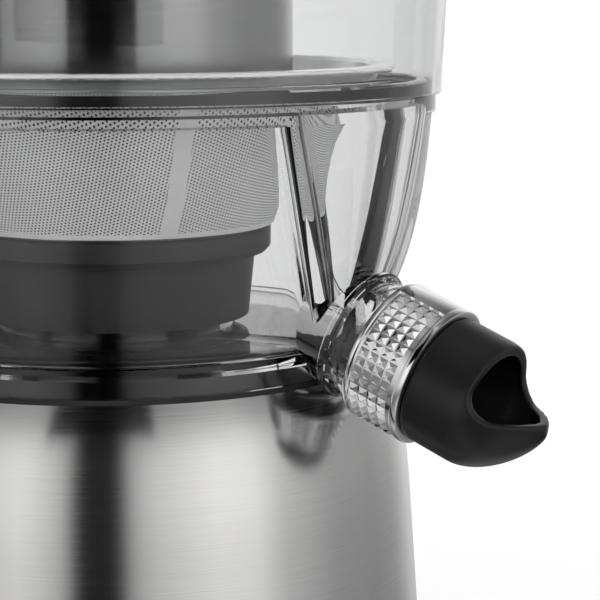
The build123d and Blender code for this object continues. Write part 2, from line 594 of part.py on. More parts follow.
with BuildPart() as juice_bowl:
    revolve(bowl_outline(0, DECK_Z + BOWL_FLANGE_HIGH), axis=Axis.Z)
    add(recess_wedge(0), mode=Mode.SUBTRACT)
    revolve(recess_outline(0, DECK_Z + BOWL_FLANGE_HIGH), axis=Axis.Z)
    ring(0, BOWL_RIM_R, BOWL_SHELF_Z - BOWL_SHELF_THICK, BOWL_RIM_Z)
    ring(0, BOWL_NECK_R, BOWL_RIM_Z, BOWL_NECK_TOP)
    ring(0, BOWL_FLANGE_R, DECK_Z + BOWL_FLANGE_LOW, DECK_Z + BOWL_FLANGE_HIGH)
    ring(0, BOWL_SKIRT_R, DECK_Z, DECK_Z + BOWL_FLANGE_LOW)
    ring(0, BOWL_SKIRT_R - BOWL_SKIRT_WALL, DECK_Z, FLOOR_LOW_Z, mode=Mode.SUBTRACT)
    spout_ring(0, SPOUT_TUBE_R, -SPOUT_ROOT, SPOUT_TUBE_END)
    spout_ring(0, SPOUT_LIP_R, -SPOUT_LIP_BACK - SPOUT_LIP_THICK, -SPOUT_LIP_BACK)
    revolve(body_outline(-SEAT_GAP, PLATE_TOP_Z, DECK_Z), axis=Axis.Z, mode=Mode.SUBTRACT)
    add(bowl_hollow.part, mode=Mode.SUBTRACT)
    ring(0, HUB_BORE_R, DECK_Z, BOWL_NECK_TOP, mode=Mode.SUBTRACT)
    spout_ring(0, SPOUT_BORE_R, -SPOUT_ROOT, SPOUT_TUBE_END + 1, mode=Mode.SUBTRACT)
    spout_ring(SPOUT_TUBE_R - SEAL_DEPTH, SPOUT_LIP_R, SEAL_START, SEAL_START + SEAL_WIDTH,
               mode=Mode.SUBTRACT)
save(juice_bowl, "juice_bowl")

with BuildPart() as pulp_guard:
    turned([
        (GUARD_INNER_R + GUARD_THICK, BOWL_SHELF_Z),
        (BOWL_NECK_R - BOWL_WALL, BOWL_SHELF_Z),
        (BOWL_NECK_R - BOWL_WALL, BOWL_SHELF_Z + GUARD_THICK),
        (GUARD_INNER_R + GUARD_THICK, BOWL_SHELF_Z + GUARD_THICK),
        (GUARD_INNER_R + GUARD_THICK, GUARD_LIP_TOP),
        (GUARD_INNER_R, GUARD_LIP_TOP),
        (GUARD_INNER_R, BOWL_SHELF_Z),
    ])
    fillet(pulp_guard.edges().group_by(Axis.Z)[-1], radius=0.6)
save(pulp_guard, "pulp_guard")

# ================================ spout ======================================================

with BuildPart() as spout_seal:
    spout_ring(SPOUT_TUBE_R - SEAL_DEPTH, COLLAR_BORE_R - 0.1, SEAL_START, SEAL_START + SEAL_WIDTH)
    fillet(spout_seal.edges().filter_by(GeomType.CIRCLE).sort_by(SortBy.RADIUS)[-2:], radius=0.5)
save(spout_seal, "spout_seal")

with BuildPart() as spout_collar:
    spout_ring(COLLAR_BORE_R, COLLAR_R, 0, COLLAR_LENGTH)
    fillet(spout_collar.edges().filter_by(GeomType.CIRCLE).sort_by(SortBy.RADIUS)[-2:], radius=0.6)
    spout_ring(COLLAR_R - COLLAR_PANEL_DEPTH, COLLAR_R + 1, COLLAR_RIM, COLLAR_LENGTH - COLLAR_RIM,
               mode=Mode.SUBTRACT)
save(spout_collar, "spout_collar")


NOZZLE_AXIS = Axis(tuple(SPOUT_START), tuple(SPOUT_ALONG))
NOZZLE_SIDE = Plane(origin=spout_plane(COLLAR_LENGTH).origin, x_dir=SPOUT_ALONG, z_dir=(0, -1, 0))


def nozzle_outline(radius, reach, start):
    """Half section of the nozzle: a straight barrel that closes in a rounded nose."""
    with BuildSketch(NOZZLE_SIDE) as outline:
        with BuildLine():
            Polyline((reach, 0), (start, 0), (start, radius), (NOZZLE_BARREL, radius))
            Bezier(
                (NOZZLE_BARREL, radius),
                (NOZZLE_BARREL + 0.38 * (reach - NOZZLE_BARREL), radius),
                (reach - 2.3, 0.46 * radius),
                (reach, 0),
            )
        make_face()
    return outline.sketch


with BuildPart() as spout_nozzle:
    revolve(nozzle_outline(NOZZLE_R, NOZZLE_REACH, 0), axis=NOZZLE_AXIS)
    spout_ring(0, COLLAR_BORE_R, NOZZLE_SEAT, COLLAR_LENGTH)
    revolve(nozzle_outline(NOZZLE_R - NOZZLE_WALL, NOZZLE_REACH - NOZZLE_WALL, 0), axis=NOZZLE_AXIS,
            mode=Mode.SUBTRACT)
    spout_ring(0, SPOUT_BORE_R, NOZZLE_SEAT - 1, COLLAR_LENGTH + 1, mode=Mode.SUBTRACT)
    with BuildSketch(NOZZLE_SIDE) as mouth:
        with BuildLine():
            Polyline(
                (NOZZLE_BROW, 2 * NOZZLE_R),
                (NOZZLE_BROW, SCOOP_LOW),
                (NOZZLE_REACH + 4, SCOOP_LOW + SCOOP_RISE),
                (NOZZLE_REACH + 4, 2 * NOZZLE_R),
                close=True,
            )
        make_face()
        fillet(mouth.vertices().group_by(Axis.X)[0].sort_by(Axis.Y)[0], radius=SCOOP_ROUND)
    extrude(amount=2 * NOZZLE_R, both=True, mode=Mode.SUBTRACT)
save(spout_nozzle, "spout_nozzle")

# ================================ basket =====================================================

with BuildPart() as sieve_mesh:
    turned([
        (MESH_LOW_R, MESH_LOW_Z),
        (MESH_TOP_R, MESH_TOP_Z),
        (MESH_TOP_R - MESH_THICK, MESH_TOP_Z),
        (MESH_LOW_R - MESH_THICK, MESH_LOW_Z),
    ])
save(sieve_mesh, "sieve_mesh")

with BuildPart() as basket_rim:
    turned([
        (MESH_TOP_R - MESH_THICK, MESH_TOP_Z),
        (MESH_TOP_R, MESH_TOP_Z),
        (MESH_TOP_R - MESH_LEAN * RIM_BAND, MESH_TOP_Z - RIM_BAND),
        (MESH_TOP_R - MESH_LEAN * RIM_BAND + 0.7, MESH_TOP_Z - RIM_BAND),
        (MESH_TOP_R + 3, FLANGE_LOW_Z - 0.6),
        (MESH_TOP_R + 3.8, FLANGE_LOW_Z),
        (BASKET_FLANGE_R, FLANGE_LOW_Z),
        (BASKET_FLANGE_R, BASKET_FLANGE_TOP),
        (MESH_TOP_R + 2.6, BASKET_FLANGE_TOP),
        (MESH_TOP_R + 1.6, BASKET_FLANGE_TOP - 1),
    ])
    rim_edges = basket_rim.edges().filter_by(GeomType.CIRCLE).sort_by(SortBy.RADIUS)[-2:]
    fillet(rim_edges, radius=0.45 * BASKET_FLANGE_THICK)
save(basket_rim, "basket_rim")


def coupling_star(core_r, tooth_r, tooth_wide, high):
    """Star section of the drive: a round core with evenly spaced teeth."""
    with BuildSketch(Plane.XY.offset(high)) as star:
        Circle(core_r)
        with PolarLocations(0.5 * tooth_r, COUPLING_TEETH):
            Rectangle(tooth_r, tooth_wide)
        with BuildSketch(Plane.XY.offset(high), mode=Mode.INTERSECT):
            Circle(tooth_r)
    return star.sketch


with BuildPart() as basket_base:
    turned([
        (0, BASKET_BASE_LOW),
        (BASKET_SKIRT_LOW_R - BASKET_SKIRT_WALL + 1.4, BASKET_BASE_LOW),
        (BASKET_SKIRT_LOW_R - BASKET_SKIRT_WALL, BASKET_BASE_LOW - BASKET_SKIRT_DROP),
        (BASKET_SKIRT_LOW_R, BASKET_BASE_LOW - BASKET_SKIRT_DROP),
        (BASKET_SKIRT_TOP_R, BASKET_BASE_LOW),
        (BASKET_BASE_R - 1.2, BASKET_BASE_LOW),
        (BASKET_BASE_R, BASKET_BASE_LOW + 1.4),
        (BASKET_BASE_R, MESH_LOW_Z - 1.2),
        (MESH_RING_R - 0.3, BASKET_BASE_TOP),
        (0, BASKET_BASE_TOP),
    ])
    ring(0, SOCKET_R, BASKET_BASE_LOW - SOCKET_DROP, BASKET_BASE_LOW)
    socket_star = coupling_star(
        COUPLING_CORE_R + TURN_GAP,
        COUPLING_TOOTH_R + TURN_GAP,
        COUPLING_TOOTH_WIDE + 2 * TURN_GAP,
        BASKET_BASE_LOW - SOCKET_DROP,
    )
    extrude(socket_star, amount=SOCKET_DROP + COUPLING_END_GAP, mode=Mode.SUBTRACT)
save(basket_base, "basket_base")

DISC_R = MESH_RING_R - MESH_LEAN * 2 + 0.6

with BuildPart() as cutting_tooth:
    with BuildSketch(Plane.YZ):
        with BuildLine():
            Polyline(
                (-0.3 * TOOTH_LENGTH, 0),
                (0.7 * TOOTH_LENGTH, 0),
                (-0.3 * TOOTH_LENGTH, TOOTH_HEIGHT),
                close=True,
            )
        make_face()
    extrude(amount=0.5 * TOOTH_WIDE, both=True)

with BuildPart() as grating_disc:
    ring(0, DISC_R, BASKET_BASE_TOP, DISC_TOP_Z)
    ring(0, BOLT_CAP_R, DISC_TOP_Z, DISC_TOP_Z + 1.2)
    first_tooth_r = BOLT_CAP_R + 4
    tooth_step = (DISC_R - 5 - first_tooth_r) / (TOOTH_PER_ROW - 0.5)
    for row in range(TOOTH_ROWS):
        for place in range(TOOTH_PER_ROW):
            radius = first_tooth_r + (place + 0.5 * (row % 2)) * tooth_step
            turn = 360 * row / TOOTH_ROWS + TOOTH_SWEEP * place
            add(Rot(0, 0, turn) * Pos(radius, 0, DISC_TOP_Z - 0.02) * cutting_tooth.part)
save(grating_disc, "grating_disc")

# ================================ coupling, shaft and motor ==================================

with BuildPart() as drive_coupling:
    star = coupling_star(COUPLING_CORE_R, COUPLING_TOOTH_R, COUPLING_TOOTH_WIDE, COUPLING_LOW_Z)
    extrude(star, amount=COUPLING_TOP_Z - COUPLING_LOW_Z)
    chamfer(drive_coupling.edges().group_by(Axis.Z)[-1], length=0.8)
    ring(0, SHAFT_R, COUPLING_LOW_Z, SHAFT_TOP_Z, mode=Mode.SUBTRACT)
save(drive_coupling, "drive_coupling")

with BuildPart() as drive_shaft:
    ring(0, SHAFT_R, SHAFT_LOW_Z, SHAFT_TOP_Z)
    chamfer(drive_shaft.edges().filter_by(GeomType.CIRCLE), length=0.6)
save(drive_shaft, "drive_shaft")

def bearing(low):
    """Plain ball bearing outline: an outer race with a shallow groove on each face."""
    turned([
        (SHAFT_R + RUN_GAP, low),
        (SHAFT_R + 1.8, low),
        (SHAFT_R + 2.2, low + 0.5),
        (BEARING_R - 1.8, low + 0.5),
        (BEARING_R - 1.4, low),
        (BEARING_R, low),
        (BEARING_R, low + BEARING_HIGH),
        (BEARING_R - 1.4, low + BEARING_HIGH),
        (BEARING_R - 1.8, low + BEARING_HIGH - 0.5),
        (SHAFT_R + 2.2, low + BEARING_HIGH - 0.5),
        (SHAFT_R + 1.8, low + BEARING_HIGH),
        (SHAFT_R + RUN_GAP, low + BEARING_HIGH),
    ])


with BuildPart() as lower_bearing:
    bearing(LOWER_BEARING_Z)
save(lower_bearing, "lower_bearing")

with BuildPart() as upper_bearing:
    bearing(UPPER_BEARING_Z)
save(upper_bearing, "upper_bearing")


def bracket_arms(low, start):
    """Crossed arms of a motor bracket, with rounded ends."""
    with BuildSketch(Plane.XY.offset(low)) as arms:
        with Locations(Rot(0, 0, start), Rot(0, 0, start + 90)):
            SlotOverall(2 * BRACKET_SPAN, BRACKET_ARM_WIDE)
        Circle(2 * BEARING_R)
    extrude(arms.sketch, amount=BRACKET_THICK)


with BuildPart() as lower_motor_bracket:
    bracket_arms(LOWER_BRACKET_Z, 45)
    ring(0, BEARING_R + BRACKET_CUP_WALL, LOWER_BEARING_Z - 2, LOWER_BEARING_Z + BEARING_HIGH)
    ring(0, BEARING_R, LOWER_BEARING_Z, LOWER_BEARING_Z + BEARING_HIGH + 1, mode=Mode.SUBTRACT)
    ring(0, SHAFT_R + SHAFT_HOLE_GAP, LOWER_BEARING_Z - 3, LOWER_BEARING_Z + 1, mode=Mode.SUBTRACT)
    posts(MOTOR_BOLT_R, MOTOR_BOLT_RADIUS, 4, LOWER_BRACKET_Z - 1, LOWER_BRACKET_Z + 8, mode=Mode.SUBTRACT)
save(lower_motor_bracket, "lower_motor_bracket")

with BuildPart() as upper_motor_bracket:
    bracket_arms(UPPER_BRACKET_TOP - BRACKET_THICK, 45)
    ring(0, BEARING_R + BRACKET_CUP_WALL, UPPER_BEARING_Z - 1, UPPER_BRACKET_TOP + 1)
    ring(0, BEARING_R, UPPER_BEARING_Z - 2, UPPER_BRACKET_TOP, mode=Mode.SUBTRACT)
    ring(0, SHAFT_R + SHAFT_HOLE_GAP, UPPER_BRACKET_TOP - 1, UPPER_BRACKET_TOP + 2, mode=Mode.SUBTRACT)
    posts(MOTOR_BOLT_R, MOTOR_BOLT_RADIUS, 4, UPPER_BEARING_Z - 2, UPPER_BRACKET_TOP + 2, mode=Mode.SUBTRACT)
save(upper_motor_bracket, "upper_motor_bracket")

with BuildPart() as motor_bolts:
    posts(MOTOR_BOLT_R, MOTOR_BOLT_RADIUS, 4, LOWER_BRACKET_Z, UPPER_BRACKET_TOP)
    posts(1.8 * MOTOR_BOLT_R, MOTOR_BOLT_RADIUS, 4, LOWER_BRACKET_Z - 3, LOWER_BRACKET_Z)
save(motor_bolts, "motor_bolts")

with BuildPart() as motor_mounts:
    posts(MOUNT_R, MOUNT_RADIUS, 4, UPPER_BRACKET_TOP, POST_LOW_Z)
save(motor_mounts, "motor_mounts")

with BuildPart() as motor_stator:
    with BuildSketch(Plane.XY.offset(STATOR_LOW_Z)):
        RectangleRounded(STATOR_LONG, STATOR_WIDE, 14)
        Circle(STATOR_BORE_R, mode=Mode.SUBTRACT)
        with Locations((0, STATOR_BORE_R + 2), (0, -STATOR_BORE_R - 2)):
            RectangleRounded(38, 9, 3, mode=Mode.SUBTRACT)
        with PolarLocations(MOTOR_BOLT_RADIUS, 4, start_angle=45):
            Circle(MOTOR_BOLT_R, mode=Mode.SUBTRACT)
    extrude(amount=STATOR_HIGH)
save(motor_stator, "motor_stator")

COIL_OVERHANG = 7.0

with BuildPart() as field_coils:
    for side in (1, -1):
        with BuildSketch(Plane.XY.offset(STATOR_TOP_Z)):
            with Locations((0, side * (STATOR_BORE_R + 2.4))):
                RectangleRounded(44, 6.6, 3)
        extrude(amount=COIL_OVERHANG)
        with BuildSketch(Plane.XY.offset(STATOR_LOW_Z)):
            with Locations((0, side * (STATOR_BORE_R + 2.4))):
                RectangleRounded(44, 6.6, 3)
        extrude(amount=-COIL_OVERHANG)
save(field_coils, "field_coils")

ARMATURE_R = STATOR_BORE_R - AIR_GAP

with BuildPart() as armature:
    turned([
        (SHAFT_R, STATOR_LOW_Z - 9),
        (ARMATURE_R - 9, STATOR_LOW_Z - 9),
        (ARMATURE_R - 3, STATOR_LOW_Z - 3),
        (ARMATURE_R - 3, STATOR_LOW_Z + 1),
        (ARMATURE_R, STATOR_LOW_Z + 1),
        (ARMATURE_R, STATOR_TOP_Z - 1),
        (ARMATURE_R - 3, STATOR_TOP_Z - 1),
        (ARMATURE_R - 3, STATOR_TOP_Z + 3),
        (ARMATURE_R - 9, STATOR_TOP_Z + 8),
        (SHAFT_R, STATOR_TOP_Z + 8),
    ])
    with BuildSketch(Plane.XY.offset(STATOR_LOW_Z + 1)):
        with PolarLocations(ARMATURE_R - 1, 12):
            Rectangle(4, 1.8)
    extrude(amount=STATOR_HIGH - 2, mode=Mode.SUBTRACT)
save(armature, "armature")

COMMUTATOR_LOW_Z = LOWER_BEARING_Z + BEARING_HIGH + 3
COMMUTATOR_TOP_Z = STATOR_LOW_Z - 10

with BuildPart() as commutator:
    ring(SHAFT_R, COMMUTATOR_R, COMMUTATOR_LOW_Z, COMMUTATOR_TOP_Z)
    with BuildSketch(Plane.XY.offset(COMMUTATOR_LOW_Z)):
        with PolarLocations(COMMUTATOR_R - 0.4, 18):
            Rectangle(1.6, 0.6)
    extrude(amount=COMMUTATOR_TOP_Z - COMMUTATOR_LOW_Z, mode=Mode.SUBTRACT)
save(commutator, "commutator")

BRUSH_MID_Z = 0.5 * (COMMUTATOR_LOW_Z + COMMUTATOR_TOP_Z)
BRUSH_REACH = 18.0

with BuildPart() as carbon_brushes:
    for side in (1, -1):
        with BuildSketch(Plane.YZ.offset(side * (COMMUTATOR_R + 0.1))):
            with Locations((0, BRUSH_MID_Z)):
                Rectangle(6, 7)
        extrude(amount=side * BRUSH_REACH)
save(carbon_brushes, "carbon_brushes")

with BuildPart() as brush_holders:
    for side in (1, -1):
        with BuildSketch(Plane.YZ.offset(side * (COMMUTATOR_R + 3))):
            with Locations((0, BRUSH_MID_Z)):
                Rectangle(9, 10)
                Rectangle(6, 7, mode=Mode.SUBTRACT)
        extrude(amount=side * (BRUSH_REACH + 2))
        with BuildSketch(Plane.XY.offset(LOWER_BRACKET_Z + BRACKET_THICK)):
            with Locations((side * (COMMUTATOR_R + 7), 0)):
                Rectangle(5, 9)
        extrude(amount=BRUSH_MID_Z - 5 - LOWER_BRACKET_Z - BRACKET_THICK)
save(brush_holders, "brush_holders")

FAN_LOW_Z = STATOR_TOP_Z + 11

with BuildPart() as cooling_fan:
    ring(SHAFT_R, FAN_R, FAN_LOW_Z, FAN_LOW_Z + 1.6)
    ring(SHAFT_R, SHAFT_R + 4, FAN_LOW_Z, FAN_LOW_Z + 11)
    with BuildSketch(Plane.XY.offset(FAN_LOW_Z)):
        with PolarLocations(0.5 * (FAN_R + SHAFT_R + 6), FAN_BLADES):
            with Locations(Rot(0, 0, 24)):
                Rectangle(FAN_R - SHAFT_R - 7, 1.4)
    extrude(amount=10)
save(cooling_fan, "cooling_fan")

# ================================ lid ========================================================

CHUTE_HALF = 0.5 * CHUTE_WIDE


def lid_outline(inset, low):
    """Half section of the lid: drafted side, rounded shoulder, low crown."""
    with BuildSketch(Plane.XZ) as outline:
        with BuildLine():
            FilletPolyline(
                (LID_LOW_R - inset, low),
                (LID_SIDE_TOP_R - inset, LID_SIDE_TOP_Z),
                (LID_LOW_R - LID_CROWN_INSET - inset, BOWL_RIM_Z + LID_CROWN_HIGH - inset),
                (SLEEVE_R, LID_NECK_Z - inset),
                radius=[12 - inset, 14],
            )
            Polyline((SLEEVE_R, LID_NECK_Z - inset), (0, LID_NECK_Z - inset), (0, low),
                     (LID_LOW_R - inset, low))
        make_face()
    return outline.sketch


def chute_outline(inset, floor_x):
    """Side section of the pulp chute: out from the lid's wall, then down over the bin."""
    floor_z = BOWL_RIM_Z + inset
    with BuildSketch(Plane.XZ) as outline:
        with BuildLine():
            Polyline(
                (floor_x, floor_z),
                (-CHUTE_NEAR_X - inset, floor_z),
                (-CHUTE_NEAR_X - inset, CHUTE_LOW_Z - inset),
                (-CHUTE_FAR_X + inset, CHUTE_LOW_Z - inset),
                (-CHUTE_FAR_X + inset, CHUTE_ROOF_Z - inset),
                (floor_x, CHUTE_ROOF_Z - inset),
                close=True,
            )
        make_face()
        far_top = outline.vertices().group_by(Axis.Y)[-1].sort_by(Axis.X)[0]
        fillet(far_top, radius=CHUTE_ROUND - inset)
    return outline.sketch


with BuildPart() as chute_block:
    extrude(chute_outline(0, -CHUTE_NEAR_X + 17), amount=CHUTE_HALF, both=True)
    fillet(chute_block.edges().filter_by(Axis.Z).sort_by(Axis.X)[:2], radius=CHUTE_ROUND)

with BuildPart() as chute_space:
    extrude(chute_outline(LID_WALL, -CHUTE_NEAR_X + 25), amount=CHUTE_HALF - LID_WALL, both=True)
    fillet(chute_space.edges().filter_by(Axis.Z).sort_by(Axis.X)[:2], radius=CHUTE_ROUND - LID_WALL)

with BuildPart() as lid:
    revolve(lid_outline(0, BOWL_RIM_Z), axis=Axis.Z)
    ring(0, SLEEVE_R + LID_NECK_WALL, LID_NECK_Z - 3, LID_NECK_Z + LID_NECK_HIGH)
    add(chute_block.part)
    with BuildSketch(Plane.XY.offset(LUG_LOW_Z)):
        for side in (1, -1):
            with PolarLocations(0.5 * LUG_REACH, 1, start_angle=side * CLAMP_ROUND):
                Rectangle(LUG_REACH, LUG_WIDE)
        Circle(LUG_REACH, mode=Mode.INTERSECT)
    extrude(amount=LUG_TOP_Z - LUG_LOW_Z)
    revolve(lid_outline(LID_WALL, BOWL_RIM_Z), axis=Axis.Z, mode=Mode.SUBTRACT)
    ring(0, SLEEVE_R, BOWL_RIM_Z, LID_NECK_Z + LID_NECK_HIGH, mode=Mode.SUBTRACT)
    add(chute_space.part, mode=Mode.SUBTRACT)
save(lid, "lid")

LID_SEAL_THICK = LID_LOW_R - LID_WALL - BOWL_NECK_R - TURN_GAP

with BuildPart() as lid_seal:
    ring(BOWL_NECK_R + TURN_GAP, BOWL_NECK_R + TURN_GAP + LID_SEAL_THICK, BOWL_RIM_Z + 0.6,
         BOWL_RIM_Z + 3)
save(lid_seal, "lid_seal")

with BuildPart() as chute_sleeve:
    ring(SLEEVE_R - SLEEVE_WALL, SLEEVE_R, SLEEVE_LOW_Z, SLEEVE_TOP_Z)
save(chute_sleeve, "chute_sleeve")

with BuildPart() as feed_tube:
    turned([
        (FEED_BORE_R, FEED_LOW_Z),
        (FEED_BORE_R + 0.8, FEED_LOW_Z),
        (FEED_OUTER_R, MESH_LOW_Z + 14),
        (FEED_OUTER_R, SLEEVE_LOW_Z),
        (SLEEVE_R - SLEEVE_WALL, SLEEVE_LOW_Z),
        (SLEEVE_R - SLEEVE_WALL, SLEEVE_LOW_Z + 2.4),
        (FEED_OUTER_R, SLEEVE_LOW_Z + 2.4),
        (FEED_OUTER_R, SLEEVE_TOP_Z - 6),
        (SLEEVE_R - SLEEVE_WALL, SLEEVE_TOP_Z),
        (FEED_MOUTH_R, SLEEVE_TOP_Z),
        (FEED_MOUTH_R, FEED_TOP_Z),
        (FEED_MOUTH_R - 3, FEED_TOP_Z),
        (FEED_BORE_R + 1, FEED_TOP_Z - 4),
        (FEED_BORE_R, FEED_TOP_Z - 8),
    ])
    fillet(feed_tube.edges().filter_by(GeomType.CIRCLE).sort_by(SortBy.RADIUS)[-2:], radius=1.4)
save(feed_tube, "feed_tube")

# ================================ pusher =====================================================

with BuildPart() as pusher_cup:
    ring(0, PUSHER_R, PUSHER_LOW_Z, PUSHER_CAP_Z + 4)
    fillet(pusher_cup.edges().group_by(Axis.Z)[0], radius=3)
    ring(0, PUSHER_R - PUSHER_WALL, PUSHER_LOW_Z + PUSHER_WALL, PUSHER_CAP_Z + 5, mode=Mode.SUBTRACT)
save(pusher_cup, "pusher_cup")

with BuildPart() as pusher_cap:
    turned([
        (PUSHER_R, PUSHER_CAP_Z),
        (PUSHER_CAP_R, PUSHER_CAP_Z),
        (PUSHER_CAP_R, PUSHER_CAP_Z + PUSHER_CAP_HIGH - 4),
        (PUSHER_CAP_R - 4, PUSHER_CAP_Z + PUSHER_CAP_HIGH),
        (PUSHER_R - 3, PUSHER_CAP_Z + PUSHER_CAP_HIGH),
        (PUSHER_R - 3, PUSHER_CAP_Z + 4),
        (PUSHER_R, PUSHER_CAP_Z + 4),
    ])
    fillet(pusher_cap.edges().filter_by(GeomType.CIRCLE).sort_by(SortBy.RADIUS)[-2:], radius=2)
save(pusher_cap, "pusher_cap")

# ================================ pulp bin ===================================================

BIN_HOLLOW_R = PLATE_R + BIN_GAP


def bin_outline(inset, low):
    """Plan of the crescent bin: a round tub with the body's circle taken out of its front."""
    with BuildSketch(Plane.XY.offset(low)) as outline:
        with Locations((-BIN_CENTRE_X, 0)):
            Circle(BIN_R - inset)
        with Locations((-BIN_HORN_X - inset, 0)):
            Rectangle(4 * BIN_R, 4 * BIN_R, align=(Align.MAX, Align.CENTER), mode=Mode.INTERSECT)
        Circle(BIN_HOLLOW_R + inset, mode=Mode.SUBTRACT)
        fillet(outline.vertices(), radius=BIN_ROUND - 0.5 * inset)
    return outline.sketch


GRIP_OUT_X = BIN_CENTRE_X + BIN_R + GRIP_REACH
GRIP_LOW_Z = BIN_TOP_Z - GRIP_DROP - GRIP_LONG

with BuildPart() as pulp_bin:
    extrude(bin_outline(0, 0), amount=BIN_TOP_Z)
    chamfer(pulp_bin.edges().group_by(Axis.Z)[0], length=1.5)
    extrude(bin_outline(-BIN_LIP, BIN_TOP_Z - BIN_LIP_HIGH), amount=BIN_LIP_HIGH)
    with BuildSketch(Plane.XZ) as grip:
        with Locations((-GRIP_OUT_X, GRIP_LOW_Z)):
            Rectangle(GRIP_REACH + 8, GRIP_LONG, align=Align.MIN)
        fillet(grip.vertices().group_by(Axis.X)[0], radius=16)
        with Locations((-GRIP_OUT_X + GRIP_BAR, GRIP_LOW_Z + GRIP_BAR)):
            RectangleRounded(GRIP_REACH - GRIP_BAR, GRIP_LONG - 2 * GRIP_BAR, 7, align=Align.MIN,
                             mode=Mode.SUBTRACT)
    extrude(amount=0.5 * GRIP_WIDE, both=True)
    extrude(bin_outline(BIN_WALL, BIN_WALL), amount=BIN_TOP_Z, mode=Mode.SUBTRACT)
save(pulp_bin, "pulp_bin")

# ================================ side clamps ================================================

BRACKET_FACE_Y = CLAMP_PIVOT_Y - CLAMP_KNUCKLE_R - 1.5
BRACKET_LOW_Z = CLAMP_PIVOT_Z - 11
BRACKET_TOP_Z = INTERLOCK_Z + INTERLOCK_PIN_R + 2.5
CLAMP_SECTION = about_z(Plane.YZ, CLAMP_TURNS[0])
CLAMP_FACING = about_z(Plane.XZ, CLAMP_TURNS[0])


with BuildPart() as rear_clamp_bracket:
    with BuildSketch(CLAMP_SECTION):
        with Locations((0.5 * (BODY_TOP_R + BRACKET_FACE_Y), BRACKET_LOW_Z)):
            Rectangle(BRACKET_FACE_Y - BODY_TOP_R, BRACKET_TOP_Z - BRACKET_LOW_Z,
                      align=(Align.CENTER, Align.MIN))
    extrude(amount=EAR_INNER + EAR_THICK, both=True)
    for side in (1, -1):
        with BuildSketch(CLAMP_SECTION.offset(side * EAR_INNER)):
            with BuildLine():
                Polyline(
                    (BRACKET_FACE_Y - 1, BRACKET_LOW_Z),
                    (CLAMP_PIVOT_Y, CLAMP_PIVOT_Z - EAR_R),
                    (CLAMP_PIVOT_Y, CLAMP_PIVOT_Z + EAR_R),
                    (BRACKET_FACE_Y - 1, BRACKET_TOP_Z - 2),
                    close=True,
                )
            make_face()
            with Locations((CLAMP_PIVOT_Y, CLAMP_PIVOT_Z)):
                Circle(EAR_R)
        extrude(amount=side * EAR_THICK)
    across = Axis(CLAMP_SECTION.origin, CLAMP_SECTION.z_dir)
    fillet(rear_clamp_bracket.edges().filter_by(across).group_by(Axis.Z)[-1].sort_by(Axis.Y)[-1],
           radius=2)
    add(body_envelope.part, mode=Mode.SUBTRACT)
    with BuildSketch(CLAMP_SECTION):
        with Locations((CLAMP_PIVOT_Y, CLAMP_PIVOT_Z)):
            Circle(CLAMP_PIN_R)
    extrude(amount=30, both=True, mode=Mode.SUBTRACT)
    with BuildSketch(CLAMP_FACING.offset(-BODY_TOP_R)):
        with Locations((0, INTERLOCK_Z)):
            Circle(INTERLOCK_PIN_R + PIN_GAP)
    extrude(amount=-30, mode=Mode.SUBTRACT)
save(rear_clamp_bracket, "rear_clamp_bracket")

with BuildPart() as rear_clamp:
    with BuildSketch(CLAMP_SECTION):
        with BuildLine():
            Spline(
                (CLAMP_PIVOT_Y - 4.6, CLAMP_PIVOT_Z + 4.6),
                (CLAMP_PIVOT_Y - 1.0, CLAMP_PIVOT_Z + 30),
                (CLAMP_INNER_Y - 0.6, CLAMP_BEND_Z),
                (CLAMP_INNER_Y, LUG_LOW_Z - 4),
                tangents=[(-0.1, 1), (0, 1)],
            )
            Polyline(
                (CLAMP_INNER_Y, LUG_LOW_Z - 4),
                (CLAMP_INNER_Y, CLAMP_TOP_Z),
                (CLAMP_NOSE_Y, CLAMP_TOP_Z),
                (CLAMP_NOSE_Y + 0.8, CLAMP_TOP_Z + 4),
                (CLAMP_INNER_Y + 2, CLAMP_TOP_Z + 5.5),
                (CLAMP_INNER_Y + 6.5, CLAMP_TOP_Z + 12),
                (CLAMP_INNER_Y + 8.5, CLAMP_TOP_Z + 10.5),
                (CLAMP_INNER_Y + CLAMP_THICK, CLAMP_TOP_Z - 4),
                (CLAMP_INNER_Y + CLAMP_THICK, LUG_LOW_Z - 4),
            )
            Spline(
                (CLAMP_INNER_Y + CLAMP_THICK, LUG_LOW_Z - 4),
                (CLAMP_INNER_Y + CLAMP_THICK - 0.6, CLAMP_BEND_Z),
                (CLAMP_PIVOT_Y + 5.5, CLAMP_PIVOT_Z + 30),
                (CLAMP_PIVOT_Y + CLAMP_KNUCKLE_R, CLAMP_PIVOT_Z),
                tangents=[(0, -1), (0, -1)],
            )
            Line((CLAMP_PIVOT_Y + CLAMP_KNUCKLE_R, CLAMP_PIVOT_Z),
                 (CLAMP_PIVOT_Y - 4.6, CLAMP_PIVOT_Z + 4.6))
        make_face()
        with Locations((CLAMP_PIVOT_Y, CLAMP_PIVOT_Z)):
            Circle(CLAMP_KNUCKLE_R)
            Circle(CLAMP_PIN_R + PIN_GAP, mode=Mode.SUBTRACT)
    extrude(amount=0.5 * CLAMP_WIDE, both=True)
save(rear_clamp, "rear_clamp")

with BuildPart() as front_clamp_bracket:
    add(rear_clamp_bracket.part.mirror(Plane.XZ))
save(front_clamp_bracket, "front_clamp_bracket")

with BuildPart() as front_clamp:
    add(rear_clamp.part.mirror(Plane.XZ))
save(front_clamp, "front_clamp")

with BuildPart() as clamp_pins:
    for turn in CLAMP_TURNS:
        with BuildSketch(about_z(Plane.YZ, turn)):
            with Locations((CLAMP_PIVOT_Y, CLAMP_PIVOT_Z)):
                Circle(CLAMP_PIN_R)
        extrude(amount=EAR_INNER + EAR_THICK, both=True)
save(clamp_pins, "clamp_pins")

# ================================ interlock pins and switches ================================

